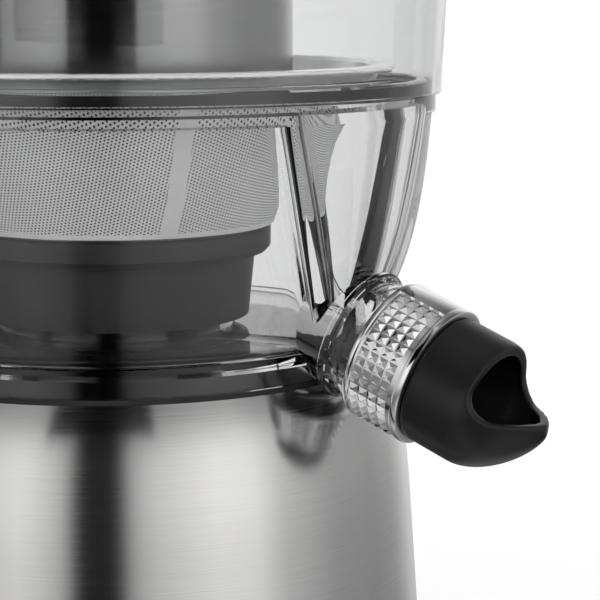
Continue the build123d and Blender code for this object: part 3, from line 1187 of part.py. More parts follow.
INTERLOCK_TIP_Y = CLAMP_PIVOT_Y - 6.0
INTERLOCK_TAIL_Y = BODY_TOP_R - 4

with BuildPart() as rear_interlock_pin:
    with BuildSketch(CLAMP_FACING.offset(-INTERLOCK_TAIL_Y)):
        with Locations((0, INTERLOCK_Z)):
            Circle(INTERLOCK_PIN_R)
    extrude(amount=INTERLOCK_TAIL_Y - INTERLOCK_TIP_Y)
save(rear_interlock_pin, "rear_interlock_pin")

with BuildPart() as front_interlock_pin:
    add(rear_interlock_pin.part.mirror(Plane.XZ))
save(front_interlock_pin, "front_interlock_pin")

SWITCH_FACE_Y = INTERLOCK_TAIL_Y - INTERLOCK_TRAVEL - 0.6

with BuildPart() as interlock_switches:
    for turn in CLAMP_TURNS:
        with BuildSketch(about_z(Plane.XZ.offset(-SWITCH_FACE_Y), turn)):
            with Locations((0, INTERLOCK_Z)):
                RectangleRounded(20, 10, 1)
        extrude(amount=7)
save(interlock_switches, "interlock_switches")

# ================================ knob, switch, board and gland ==============================

with BuildPart() as knob_bezel:
    with BuildSketch(KNOB_PLANE.offset(BEZEL_FACE_Y - 14)):
        Circle(BEZEL_R)
        Circle(SPINDLE_R + 1.5, mode=Mode.SUBTRACT)
    extrude(amount=14)
    chamfer(knob_bezel.edges().group_by(Axis.Y)[0].sort_by(SortBy.LENGTH)[-1], length=1)
    add(body_envelope.part, mode=Mode.SUBTRACT)
save(knob_bezel, "knob_bezel")

with BuildPart() as speed_knob:
    with BuildSketch(KNOB_PLANE.offset(KNOB_BACK_Y)):
        Circle(KNOB_R)
    extrude(amount=KNOB_FLANGE)
    with BuildSketch(KNOB_PLANE.offset(KNOB_BACK_Y + KNOB_FLANGE)):
        Circle(KNOB_R - 2)
    extrude(amount=KNOB_DEEP - KNOB_FLANGE)
    chamfer(speed_knob.edges().group_by(Axis.Y)[0], length=1.4)
    with BuildSketch(KNOB_PLANE.offset(KNOB_BACK_Y + KNOB_FLANGE)):
        with Locations((KNOB_R, 0), (-KNOB_R, 0)):
            Rectangle(2 * KNOB_R - KNOB_BAR_WIDE, 3 * KNOB_R)
    extrude(amount=KNOB_DEEP, mode=Mode.SUBTRACT)
    with BuildSketch(KNOB_PLANE.offset(KNOB_BACK_Y - SPINDLE_LONG)):
        Circle(SPINDLE_R)
    extrude(amount=SPINDLE_LONG + 1)
save(speed_knob, "speed_knob")

SWITCH_FRONT_Y = KNOB_BACK_Y - 18

with BuildPart() as speed_switch:
    with BuildSketch(KNOB_PLANE.offset(SWITCH_FRONT_Y - 16)):
        RectangleRounded(30, 30, 3)
    extrude(amount=16)
    with BuildSketch(KNOB_PLANE.offset(SWITCH_FRONT_Y)):
        Circle(SPINDLE_R + 2)
    extrude(amount=2)
    with BuildSketch(KNOB_PLANE.offset(SWITCH_FRONT_Y - 12)):
        Circle(SPINDLE_R + RUN_GAP)
    extrude(amount=16, mode=Mode.SUBTRACT)
save(speed_switch, "speed_switch")

BOARD_Z = PLATE_TOP_Z + 14

with BuildPart() as control_board:
    with BuildSketch(Plane.XY.offset(BOARD_Z - 6)):
        with GridLocations(44, 26, 2, 2):
            Circle(2.5)
    extrude(amount=6)
    with BuildSketch(Plane.XY.offset(BOARD_Z)):
        RectangleRounded(54, 36, 2)
    extrude(amount=1.6)
    with BuildSketch(Plane.XY.offset(BOARD_Z + 1.6)):
        with Locations((-16, 6)):
            Rectangle(14, 16)
        with Locations((14, -8), (14, 6)):
            Circle(5)
    extrude(amount=5)
save(control_board, "control_board")

with BuildPart() as cord_gland:
    with BuildSketch(GLAND_PLANE.offset(GLAND_FACE_Y - 8)):
        Circle(GLAND_R)
    extrude(amount=8)
    fillet(cord_gland.edges().group_by(Axis.Y)[-1], radius=1.5)
    add(body_envelope.part, mode=Mode.SUBTRACT)
    with BuildSketch(GLAND_PLANE.offset(GLAND_FACE_Y - 14)):
        Circle(GLAND_R - 2)
    extrude(amount=12)
    with BuildSketch(GLAND_PLANE.offset(GLAND_FACE_Y - 14)):
        Circle(GLAND_BORE_R)
    extrude(amount=20, mode=Mode.SUBTRACT)
save(cord_gland, "cord_gland")
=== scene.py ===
import json
import math

import bmesh
import bpy
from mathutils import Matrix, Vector
from mathutils.geometry import delaunay_2d_cdt


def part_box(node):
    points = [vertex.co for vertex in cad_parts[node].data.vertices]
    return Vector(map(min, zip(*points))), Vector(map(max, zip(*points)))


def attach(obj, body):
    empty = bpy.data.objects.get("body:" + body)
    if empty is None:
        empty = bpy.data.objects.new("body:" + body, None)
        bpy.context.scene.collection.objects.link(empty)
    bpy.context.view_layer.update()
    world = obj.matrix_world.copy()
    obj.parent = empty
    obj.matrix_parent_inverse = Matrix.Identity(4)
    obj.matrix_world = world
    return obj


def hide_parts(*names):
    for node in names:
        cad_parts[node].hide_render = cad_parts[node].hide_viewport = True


# Centrifugal juicer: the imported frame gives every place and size, and this script gives the looks.
# Metres, the spin axis is Z, the spout points to +X, the knob faces -Y.

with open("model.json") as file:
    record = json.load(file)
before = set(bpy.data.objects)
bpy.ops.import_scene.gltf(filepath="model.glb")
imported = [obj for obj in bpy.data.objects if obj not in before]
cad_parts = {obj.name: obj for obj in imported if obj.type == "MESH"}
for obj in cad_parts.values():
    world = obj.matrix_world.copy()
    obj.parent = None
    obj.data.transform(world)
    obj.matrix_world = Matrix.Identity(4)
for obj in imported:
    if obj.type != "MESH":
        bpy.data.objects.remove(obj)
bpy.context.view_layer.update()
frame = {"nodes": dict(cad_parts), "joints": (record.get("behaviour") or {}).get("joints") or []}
NODES = frame["nodes"]
JOINTS = {j["name"]: j for j in frame["joints"]}
MM = 0.001
TURN = 2 * math.pi
UP = Vector((0, 0, 1))
ORIGIN = Vector((0, 0, 0))


# ================================ places read from the frame =================================

_, BODY_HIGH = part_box("base_housing")
_, BOWL_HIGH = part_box("juice_bowl")
MESH_LOW, MESH_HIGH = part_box("sieve_mesh")
DECK_Z = BODY_HIGH.z + 1.2 * MM
NECK_TOP = BOWL_HIGH.z
RIM_Z = NECK_TOP - 3.5 * MM
RIM_R = BOWL_HIGH.y
SKIRT_R = RIM_R - 14.8 * MM
SPOUT_AT = Vector(JOINTS["spout_turn"]["pos_m"])
SPOUT_ALONG = Vector(JOINTS["spout_turn"]["axis"]).normalized()
SPOUT_SIDE = Vector((0, -1, 0))
SPOUT_UP = SPOUT_SIDE.cross(SPOUT_ALONG).normalized()
if SPOUT_UP.z < 0:
    SPOUT_UP = -SPOUT_UP


# ================================ camera, studio, floor ======================================

CAMERA_AT = (0.3354, -0.4142, 0.2728)
CAMERA_HEADING = math.radians(123.7)
CAMERA_DROP = math.radians(9)
CAMERA_SIDE = math.radians(-51)      # the camera's azimuth, seen from the spin axis
CAMERA_LENS = 120

# what polished metal sees round the studio: (degrees round from the camera, brightness)
STUDIO_RING = (
    (-180, 0.95), (-150, 0.90), (-131, 0.50), (-100, 0.42), (-68, 0.60), (-50, 0.95),
    (-37, 1.10), (-27, 0.85), (-21, 0.62), (-16.5, 0.12), (-14, 0.02), (-2, 0.02), (0.5, 0.10),
    (5, 0.55), (12, 0.80), (24, 1.0), (37, 1.2), (52, 1.15), (64, 0.75), (89, 0.46), (114, 0.42),
    (131, 0.52), (150, 0.90), (180, 0.95),
)
# and from straight down (0) to straight up (1)
STUDIO_RISE = (
    (0.0, 0.75), (0.12, 0.60), (0.20, 0.42), (0.27, 0.24), (0.33, 0.46), (0.40, 0.84),
    (0.47, 1.0), (0.66, 1.0), (0.76, 0.62), (0.86, 0.24), (0.94, 0.24), (1.0, 0.5),
)
STUDIO_BRIGHTEST = 1.3               # both tables are stored as shares of this
BACKDROP_LIGHT = 1.06                # the white that the camera sees
FILL_LIGHT = 4.6                     # the light that falls on matt surfaces
FLOOR_GREY = 0.225                   # looks white under the fill light
FLOOR_HALF = 4.0
FLAG_GREY = 0.004
FLAG_OUT = 0.2                       # distance from the spin axis
FLAG_LEFT, FLAG_RIGHT = -0.094, 0.044
FLAG_LOW, FLAG_HIGH = 0.245, 0.40


def grey(value):
    return (value, value, value)


class Tree:
    """Adds nodes to one node tree."""

    def __init__(self, tree):
        self.tree = tree

    def node(self, kind, **settings):
        made = self.tree.nodes.new(kind)
        for key, value in settings.items():
            setattr(made, key, value)
        return made

    def link(self, start, end):
        self.tree.links.new(start, end)

    def maths(self, how, value, number):
        """A Math node of a value and a plain number."""
        made = self.node("ShaderNodeMath", operation=how)
        self.link(value, made.inputs[0])
        made.inputs[1].default_value = number
        return made.outputs[0]

    def azimuth(self, split):
        """The angle round Z of a split vector."""
        made = self.node("ShaderNodeMath", operation="ARCTAN2")
        self.link(split.outputs["Y"], made.inputs[0])
        self.link(split.outputs["X"], made.inputs[1])
        return made.outputs[0]

    def ramp(self, value, stops):
        """A colour ramp through stops of (place 0 to 1, colour)."""
        made = self.node("ShaderNodeValToRGB")
        band = made.color_ramp
        while len(band.elements) < len(stops):
            band.elements.new(0.5)
        for element, (place, colour) in zip(band.elements, stops):
            element.position = place
            element.color = (*colour, 1)
        self.link(value, made.inputs[0])
        return made.outputs[0]

    def remap(self, value, low, high, low_in=0.0, high_in=1.0):
        made = self.node("ShaderNodeMapRange")
        made.inputs["From Min"].default_value = low_in
        made.inputs["From Max"].default_value = high_in
        made.inputs["To Min"].default_value = low
        made.inputs["To Max"].default_value = high
        self.link(value, made.inputs["Value"])
        return made.outputs[0]

    def after_mirror(self, before, after):
        """One shader as seen directly, another as seen in anything polished."""
        rays = self.node("ShaderNodeLightPath")
        mix = self.node("ShaderNodeMixShader")
        self.link(self.maths("GREATER_THAN", rays.outputs["Glossy Depth"], 0.5), mix.inputs[0])
        self.link(before, mix.inputs[1])
        self.link(after, mix.inputs[2])
        return mix.outputs[0]


def aim_camera():
    """The photograph's view: a long lens a little above the bowl."""
    data = bpy.data.cameras.new("photo_view")
    data.lens = CAMERA_LENS
    data.clip_start = 0.01
    camera = bpy.data.objects.new("photo_view", data)
    bpy.context.scene.collection.objects.link(camera)
    camera.location = CAMERA_AT
    look = Vector((math.cos(CAMERA_HEADING) * math.cos(CAMERA_DROP),
                   math.sin(CAMERA_HEADING) * math.cos(CAMERA_DROP), -math.sin(CAMERA_DROP)))
    camera.rotation_mode = "QUATERNION"
    camera.rotation_quaternion = look.to_track_quat("-Z", "Y")
    bpy.context.scene.camera = camera


def light_studio():
    """White surroundings, with a banded ring of softboxes that only reflections see."""
    world = bpy.data.worlds.new("studio")
    bpy.context.scene.world = world
    world.use_nodes = True
    world.cycles.sampling_method = "NONE"
    world.node_tree.nodes.clear()
    sky = Tree(world.node_tree)

    plain = sky.node("ShaderNodeBackground")
    plain.inputs["Color"].default_value = (1, 1, 1, 1)
    rays = sky.node("ShaderNodeLightPath")
    sky.link(sky.remap(rays.outputs["Diffuse Depth"], BACKDROP_LIGHT, FILL_LIGHT),
             plain.inputs["Strength"])

    split = sky.node("ShaderNodeSeparateXYZ")
    sky.link(sky.node("ShaderNodeTexCoord").outputs["Generated"], split.inputs[0])
    from_camera = sky.maths("ADD", sky.azimuth(split), -CAMERA_SIDE + math.pi)
    share = sky.maths("DIVIDE", from_camera, TURN)
    wrapped = sky.node("ShaderNodeMath", operation="FRACT")
    sky.link(share, wrapped.inputs[0])
    ring = sky.ramp(wrapped.outputs[0], [((degrees + 180) / 360, grey(value / STUDIO_BRIGHTEST))
                                         for degrees, value in STUDIO_RING])
    rise = sky.ramp(sky.remap(split.outputs["Z"], 0.0, 1.0, -1.0),
                    [(place, grey(value / STUDIO_BRIGHTEST)) for place, value in STUDIO_RISE])
    both = sky.node("ShaderNodeMix", data_type="RGBA", blend_type="MULTIPLY")
    both.inputs[0].default_value = 1
    sky.link(ring, both.inputs[6])
    sky.link(rise, both.inputs[7])
    banded = sky.node("ShaderNodeBackground")
    banded.inputs["Strength"].default_value = STUDIO_BRIGHTEST ** 2
    sky.link(both.outputs[2], banded.inputs["Color"])

    out = sky.node("ShaderNodeOutputWorld")
    sky.link(sky.after_mirror(plain.outputs[0], banded.outputs[0]), out.inputs["Surface"])


def matt_card(name, paint_name, shade, corners, only_reflected):
    """A flat studio card that polished metal alone sees, or alone doesn't see."""
    skin = bpy.data.materials.new(paint_name)
    skin.use_nodes = True
    paint = skin.node_tree.nodes["Principled BSDF"]
    paint.inputs["Base Color"].default_value = (*grey(shade), 1)
    paint.inputs["Roughness"].default_value = 1.0
    paint.inputs["Specular IOR Level"].default_value = 0.0
    tree = Tree(skin.node_tree)
    order = [paint.outputs[0], tree.node("ShaderNodeBsdfTransparent").outputs[0]]
    if only_reflected:
        order.reverse()
    tree.link(tree.after_mirror(*order), skin.node_tree.nodes["Material Output"].inputs["Surface"])
    data = bpy.data.meshes.new(name)
    data.from_pydata(corners, [], [(0, 1, 2, 3)])
    data.materials.append(skin)
    card = bpy.data.objects.new(name, data)
    bpy.context.scene.collection.objects.link(card)


def lay_floor():
    """Plain pale floor that polished metal doesn't see."""
    signs = ((-1, -1), (1, -1), (1, 1), (-1, 1))
    corners = [(x * FLOOR_HALF, y * FLOOR_HALF, 0) for x, y in signs]
    matt_card("floor", "pale_floor", FLOOR_GREY, corners, only_reflected=False)


def hang_flag():
    """A black flag near the lid that only reflections see: the steel's broad dark stripe."""
    out = Vector((math.cos(CAMERA_SIDE), math.sin(CAMERA_SIDE), 0))
    side = Vector((-out.y, out.x, 0))
    places = ((FLAG_LEFT, FLAG_LOW), (FLAG_RIGHT, FLAG_LOW), (FLAG_RIGHT, FLAG_HIGH),
              (FLAG_LEFT, FLAG_HIGH))
    corners = [tuple(out * FLAG_OUT + side * across + Vector((0, 0, z))) for across, z in places]
    matt_card("studio_flag", "black_flag", FLAG_GREY, corners, only_reflected=True)


# ================================ materials ==================================================

NOISE_LOW, NOISE_HIGH = 0.3, 0.7     # where a noise texture's values mostly lie
PLASTIC_IOR = 1.49
# clear plastic's colour, from face on (0) to edge on (1), as a share of its tint
CLEAR_EDGE = ((0.0, 1.0), (0.6, 0.99), (0.84, 0.82), (0.97, 0.62))


class Finish(Tree):
    """A node material built round one Principled shader."""

    def __init__(self, name, colour, rough, metal, **sockets):
        self.material = bpy.data.materials.new(name)
        self.material.use_nodes = True
        super().__init__(self.material.node_tree)
        self.shader = self.tree.nodes["Principled BSDF"]
        self.set("Base Color", (*colour, 1))
        self.set("Roughness", rough)
        self.set("Metallic", metal)
        for socket, value in sockets.items():
            self.set(socket.replace("_", " "), value)

    def set(self, socket, value):
        self.shader.inputs[socket].default_value = value

    def drive(self, value, socket):
        self.link(value, self.shader.inputs[socket])

    def place(self):
        """The piece's own coordinates, which move with it."""
        return self.node("ShaderNodeTexCoord").outputs["Object"]

    def round_place(self, round_scale, height_scale):
        """Coordinates that run round the spin axis, for brushed surfaces."""
        split = self.node("ShaderNodeSeparateXYZ")
        self.link(self.place(), split.inputs[0])
        join = self.node("ShaderNodeCombineXYZ")
        self.link(self.maths("MULTIPLY", self.azimuth(split), round_scale), join.inputs["X"])
        self.link(self.maths("MULTIPLY", split.outputs["Z"], height_scale), join.inputs["Z"])
        return join.outputs[0]

    def noise(self, where, scale, detail, rough):
        grain = self.node("ShaderNodeTexNoise")
        grain.inputs["Scale"].default_value = scale
        grain.inputs["Detail"].default_value = detail
        grain.inputs["Roughness"].default_value = rough
        self.link(where, grain.inputs["Vector"])
        return grain.outputs["Fac"]

    def vary_rough(self, value, low, high):
        """Roughness between two values by a noise texture."""
        self.drive(self.remap(value, low, high, NOISE_LOW, NOISE_HIGH), "Roughness")

    def shade(self, value, dark, light):
        """Base colour between two colours by a noise texture."""
        self.drive(self.ramp(value, ((NOISE_LOW, dark), (NOISE_HIGH, light))), "Base Color")

    def bump(self, value, depth, strength):
        bump = self.node("ShaderNodeBump")
        bump.inputs["Distance"].default_value = depth
        bump.inputs["Strength"].default_value = strength
        self.link(value, bump.inputs["Height"])
        self.drive(bump.outputs[0], "Normal")


def brushed_steel(name, low, high, rough):
    """Steel brushed round the machine: fine level lines, highlights drawn out upwards."""
    steel = Finish(name, high, rough, 1.0, Anisotropic=0.8, Anisotropic_Rotation=0.25)
    steel.drive(steel.node("ShaderNodeTangent", direction_type="RADIAL", axis="Z").outputs[0],
                "Tangent")
    lines = steel.noise(steel.round_place(2.4, 5200), 1.0, 5, 0.7)
    steel.shade(lines, low, high)
    steel.vary_rough(lines, rough - 0.04, rough + 0.06)
    steel.bump(lines, 0.00002, 0.25)
    return steel.material


def clear_moulding(name, tint, rough=0.012):
    """Clear plastic, deeper towards its edges, with a moulding's faint flow in its surface."""
    clear = Finish(name, tint, rough, 0.0, Transmission_Weight=1.0, IOR=PLASTIC_IOR,
                   Specular_IOR_Level=0.22)
    edge = clear.node("ShaderNodeLayerWeight")
    edge.inputs["Blend"].default_value = 0.5
    stops = [(place, tuple(share * part for part in tint)) for place, share in CLEAR_EDGE]
    clear.drive(clear.ramp(edge.outputs["Facing"], stops), "Base Color")
    clear.bump(clear.noise(clear.place(), 60, 1.5, 0.4), 0.00012, 0.5)
    clear.vary_rough(clear.noise(clear.place(), 900, 4, 0.6), rough * 0.4, rough * 2.0)
    return clear.material


def moulded(name, dark, light, rough, grain=2600, depth=0.00003, gloss=0.5):
    """Plastic or rubber with a fine moulded grain."""
    plastic = Finish(name, dark, rough, 0.0, Specular_IOR_Level=gloss)
    texture = plastic.noise(plastic.place(), grain, 3, 0.6)
    plastic.shade(plastic.noise(plastic.place(), 45, 3, 0.5), dark, light)
    plastic.vary_rough(texture, rough - 0.05, rough + 0.07)
    plastic.bump(texture, depth, 0.5)
    return plastic.material


def cast_metal(name, dark, light, rough, grain=1500, depth=0.00004):
    """Cast, turned or plated metal with a fine grain."""
    metal = Finish(name, light, rough, 1.0)
    texture = metal.noise(metal.place(), grain, 4, 0.6)
    metal.shade(metal.noise(metal.place(), 120, 4, 0.6), dark, light)
    metal.vary_rough(texture, rough - 0.06, rough + 0.08)
    metal.bump(texture, depth, 0.4)
    return metal.material


def satin_sheet(name, dark, light, rough, metal):
    """Etched stainless sheet: a soft, even sheen."""
    sheet = Finish(name, grey(light), rough, metal)
    texture = sheet.noise(sheet.place(), 2200, 4, 0.6)
    sheet.shade(sheet.noise(sheet.place(), 90, 3, 0.6), grey(dark), grey(light))
    sheet.vary_rough(texture, rough - 0.05, rough + 0.06)
    sheet.bump(texture, 0.000004, 0.4)
    return sheet.material


# dark, light, roughness
BRUSHED = {
    "brushed_body": ((0.60, 0.595, 0.59), (0.72, 0.715, 0.71), 0.17),
    "sleeve_steel": (grey(0.36), grey(0.44), 0.16),
}
# dark and light grey, roughness, metal share
SATIN = {
    "rim_steel": (0.88, 0.96, 0.18, 0.6),
    "band_steel": (0.86, 0.95, 0.24, 0.3),
    "mesh_steel": (0.88, 0.96, 0.38, 0.3),
    # painted shade: the holes' walls are dark grey to stand for the shade inside the holes
    "hole_wall": (0.08, 0.12, 0.5, 0.5),
    # painted shade: the grating disc is darkened so the basket's inside, seen through the holes,
    # reads as shaded
    "disc_steel": (0.16, 0.22, 0.42, 0.8),
}
# dark, light, roughness, grain, grain depth
METAL = {
    "chrome_trim": ((0.82, 0.82, 0.83), (0.90, 0.90, 0.91), 0.07, 700, 0.00001),
    "clamp_steel": ((0.45, 0.45, 0.46), (0.56, 0.56, 0.57), 0.30),
    "steel": ((0.48, 0.48, 0.49), (0.62, 0.62, 0.63), 0.28),
    "bracket_alu": ((0.55, 0.55, 0.56), (0.68, 0.68, 0.69), 0.42),
    "lamination": ((0.16, 0.16, 0.17), (0.26, 0.26, 0.27), 0.5),
    "copper": ((0.60, 0.26, 0.13), (0.78, 0.38, 0.20), 0.32),
}
# dark, light, roughness, grain, grain depth, gloss
PLASTIC = {
    "carbon": (grey(0.02), grey(0.04), 0.7),
    "board": ((0.02, 0.10, 0.05), (0.03, 0.16, 0.08), 0.45),
    "rubber": (grey(0.005), grey(0.010), 0.62, 1800, 0.00005),
    "black_plastic": ((0.0022, 0.0022, 0.0024), (0.004, 0.004, 0.0042), 0.33, 2600, 0.00003, 0.3),
    "deck_black": (grey(0.006), grey(0.010), 0.5, 2600, 0.00003, 0.08),
    "basket_black": ((0.026, 0.026, 0.027), (0.034, 0.034, 0.035), 0.42, 2600, 0.00003, 0.15),
    "pusher_black": ((0.004, 0.004, 0.0042), (0.007, 0.007, 0.0072), 0.26),
}
# tint, roughness
CLEAR = {
    "clear_plastic": ((0.865, 0.867, 0.87),),
    "smoke_plastic": ((0.42, 0.43, 0.44), 0.03),
}
MATERIALS = {}
for make, table in ((brushed_steel, BRUSHED), (satin_sheet, SATIN), (cast_metal, METAL),
                    (moulded, PLASTIC), (clear_moulding, CLEAR)):
    for name, values in table.items():
        MATERIALS[name] = make(name, *values)

# nodes whose finish differs from the rest of their slot
FINISH_OF = {"chute_sleeve": "sleeve_steel", "basket_rim": "rim_steel",
             # the grating disc takes the painted shade finish
             "grating_disc": "disc_steel", "top_deck": "deck_black",
             "basket_base": "basket_black"}


def dress_nodes():
    """Every CAD node gets the procedural finish named like its slot, or its own."""
    for name, node in NODES.items():
        for slot in node.material_slots:
            slot.material = MATERIALS[FINISH_OF.get(name, slot.material.name)]


# ================================ mesh helpers ===============================================

def add_piece(name, verts, faces, material, body, smooth):
    """A new piece from points in the frame, riding on one body."""
    data = bpy.data.meshes.new(name)
    data.from_pydata([tuple(v) for v in verts], [], faces)
    data.validate()
    piece = bpy.data.objects.new(name, data)
    bpy.context.scene.collection.objects.link(piece)
    data.materials.append(MATERIALS[material])
    soften(piece, smooth)
    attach(piece, body)
    return piece


def soften(piece, angle):
    """Smooth shading that stays crisp at edges sharper than the angle."""
    data = piece.data
    data.polygons.foreach_set("use_smooth", [True] * len(data.polygons))
    if angle:
        data.set_sharp_from_angle(angle=math.radians(angle))
    data.update()


def edit(piece, change):
    """Changes a piece's mesh through bmesh."""
    work = bmesh.new()
    work.from_mesh(piece.data)
    change(work)
    work.to_mesh(piece.data)
    work.free()
    piece.data.update()


def face_outwards(work):
    bmesh.ops.recalc_face_normals(work, faces=work.faces)


def triangles_outwards(work):
    bmesh.ops.triangulate(work, faces=work.faces)
    face_outwards(work)


def weld(work):
    bmesh.ops.remove_doubles(work, verts=work.verts, dist=2e-6)
    bmesh.ops.dissolve_degenerate(work, edges=work.edges, dist=1e-7)


def close_slits(work):
    """Fills the hair-thin gaps that a Boolean leaves between points on one line."""
    bmesh.ops.holes_fill(work, edges=[e for e in work.edges if e.is_boundary], sides=5)


def loose(name, verts, faces):
    """A helper solid that isn't shown, ready for a Boolean."""
    data = bpy.data.meshes.new(name)
    data.from_pydata([tuple(v) for v in verts], [], faces)
    data.validate()
    solid = bpy.data.objects.new(name, data)
    bpy.context.scene.collection.objects.link(solid)
    edit(solid, triangles_outwards)
    return solid


def bake_modifiers(piece):
    """Puts what the modifiers make into the piece's own mesh."""
    bpy.context.view_layer.update()
    graph = bpy.context.evaluated_depsgraph_get()
    made = bpy.data.meshes.new_from_object(piece.evaluated_get(graph))
    piece.modifiers.clear()
    old = piece.data
    piece.data = made
    bpy.data.meshes.remove(old)


def combine(piece, tool, how):
    """Exact Boolean of two closed solids; the tool is used up."""
    step = piece.modifiers.new("join", "BOOLEAN")
    step.operation = how
    step.solver = "EXACT"
    step.object = tool
    bake_modifiers(piece)
    edit(piece, weld)
    bpy.data.objects.remove(tool)


def paint_whole(piece, material, smooth):
    """One material over a combined solid."""
    piece.data.materials.clear()
    piece.data.materials.append(MATERIALS[material])
    for face in piece.data.polygons:
        face.material_index = 0
    soften(piece, smooth)


def stack(loops, closed=True):
    """Quads between loops of the same length; the last loop joins the first when closed."""
    verts = [p for loop in loops for p in loop]
    count = len(loops[0])
    faces = []
    for k in range(len(loops) if closed else len(loops) - 1):
        faces += quads(k * count, ((k + 1) % len(loops)) * count, count)
    return verts, faces


def quads(low, high, count):
    """Quads between two loops of the same length, given the index that each starts at."""
    return [(low + i, low + (i + 1) % count, high + (i + 1) % count, high + i)
            for i in range(count)]


def inside(point, loop):
    """True for a plan point within a closed loop."""
    x, y = point
    odd = False
    for a, b in zip(loop, loop[-1:] + loop[:-1]):
        if (a.y > y) != (b.y > y) and x < (b.x - a.x) * (y - a.y) / (b.y - a.y) + a.x:
            odd = not odd
    return odd


def flat_ring(outer, inner):
    """Triangles of the level ledge between two loops, as indices into outer + inner."""
    points = [Vector((p.x, p.y)) for p in outer + inner]
    count = len(outer)
    edges = [(i, (i + 1) % count) for i in range(count)]
    edges += [(count + i, count + (i + 1) % len(inner)) for i in range(len(inner))]
    made, _, faces, origins, _, _ = delaunay_2d_cdt(points, edges, [], 0, 1e-9, True)
    kept = []
    for face in faces:
        middle = sum((made[i] for i in face), Vector((0, 0))) / len(face)
        if inside(middle, outer) and not inside(middle, inner):
            kept.append(tuple(origins[i][0] for i in face))
    return kept


def stack_mixed(loops):
    """A closed solid through level loops; loops of different lengths meet at a flat ledge."""
    verts = [p for loop in loops for p in loop]
    starts = [0]
    for loop in loops:
        starts.append(starts[-1] + len(loop))
    faces = []
    for k, low in enumerate(loops):
        following = (k + 1) % len(loops)
        high = loops[following]
        a, b = starts[k], starts[following]
        if len(low) == len(high):
            faces += quads(a, b, len(low))
            continue
        low_places = list(range(a, a + len(low)))
        high_places = list(range(b, b + len(high)))
        if low[0].length > high[0].length:
            places, ledge = low_places + high_places, flat_ring(low, high)
        else:
            places, ledge = high_places + low_places, flat_ring(high, low)
        faces += [tuple(places[i] for i in face) for face in ledge]
    return verts, faces


def circle(radius, z, steps=256):
    return [Vector((radius * math.cos(TURN * i / steps), radius * math.sin(TURN * i / steps), z))
            for i in range(steps)]


def lathe(points, steps, origin, along, side):
    """Turns (radius, height) points about an axis; the outline is closed."""
    other = along.cross(side).normalized()
    loops = []
    for radius, high in points:
        centre = origin + along * high
        loops.append([centre + radius * (side * math.cos(angle) + other * math.sin(angle))
                      for angle in (TURN * i / steps for i in range(steps))])
    return stack(loops)


def rod(points, steps, origin, along, side):
    """Turns an open outline about an axis and closes both ends with a flat face."""
    verts, faces = lathe(points, steps, origin, along, side)
    last = (len(points) - 1) * steps
    faces = [f for f in faces if not (f[0] >= last and f[2] < steps)]
    faces.append(tuple(reversed(range(steps))))
    faces.append(tuple(range(last, last + steps)))
    return verts, faces


def bezier(a, b, c, d, count):
    """Points on a cubic, both ends included."""
    made = []
    for i in range(count + 1):
        t = i / count
        u = 1 - t
        made.append(tuple(u * u * u * p + 3 * u * u * t * q + 3 * u * t * t * r + t * t * t * s
                          for p, q, r, s in zip(a, b, c, d)))
    return made


# ================================ juice bowl =================================================

FLOOR_LOW = DECK_Z + 4.6 * MM
FLANGE_TOP = DECK_Z + 7.5 * MM
KNEE_Z = DECK_Z + 14 * MM            # the recess leaves the skirt here
SHELF_LOW = RIM_Z - 4.8 * MM
SIDE_HIGH = RIM_Z - 2.4 * MM
NECK_R = RIM_R - 2.4 * MM
SKIRT_WALL = 2.4 * MM
HUB_R = 28.8 * MM
HUB_OUT = 31.2 * MM
HUB_TOP = DECK_Z + 23 * MM
BOWL_WALL = 2.6 * MM
RECESS_DEEP = 9 * MM                 # below the rim, at the top of the side
FOLD_IN = 41.1 * MM                  # from the rim's edge to the folds' walls
FOLD_DRAFT = 0.15
FOLD_SOFT, HOLLOW_SOFT = 2.6 * MM, 3.4 * MM
HOLLOW_SPREAD = 2.6
TUBE_R = 15.4 * MM
TUBE_BORE = 11 * MM
TUBE_BACK, TUBE_END = -36 * MM, 14 * MM      # distances along the spout's axis
TUBE_RING_R = 17 * MM
RING_BACK, RING_FRONT = -8.6 * MM, -6.6 * MM
ARC_STEPS = 44
CORNER_STEPS = 9
WALL_STEPS = 6
RECESS_STEPS = 90
FOLD_TURN = math.radians(34)         # azimuth that the right fold's wall is square to
LEAST_POD_TURN = math.radians(3)     # keeps the two folds beside the spout apart


def on_circle(radius, angle):
    return Vector((math.cos(angle), math.sin(angle))) * radius


def heading(angle):
    """Which way a counter-clockwise arc runs at an azimuth."""
    return Vector((-math.sin(angle), math.cos(angle)))


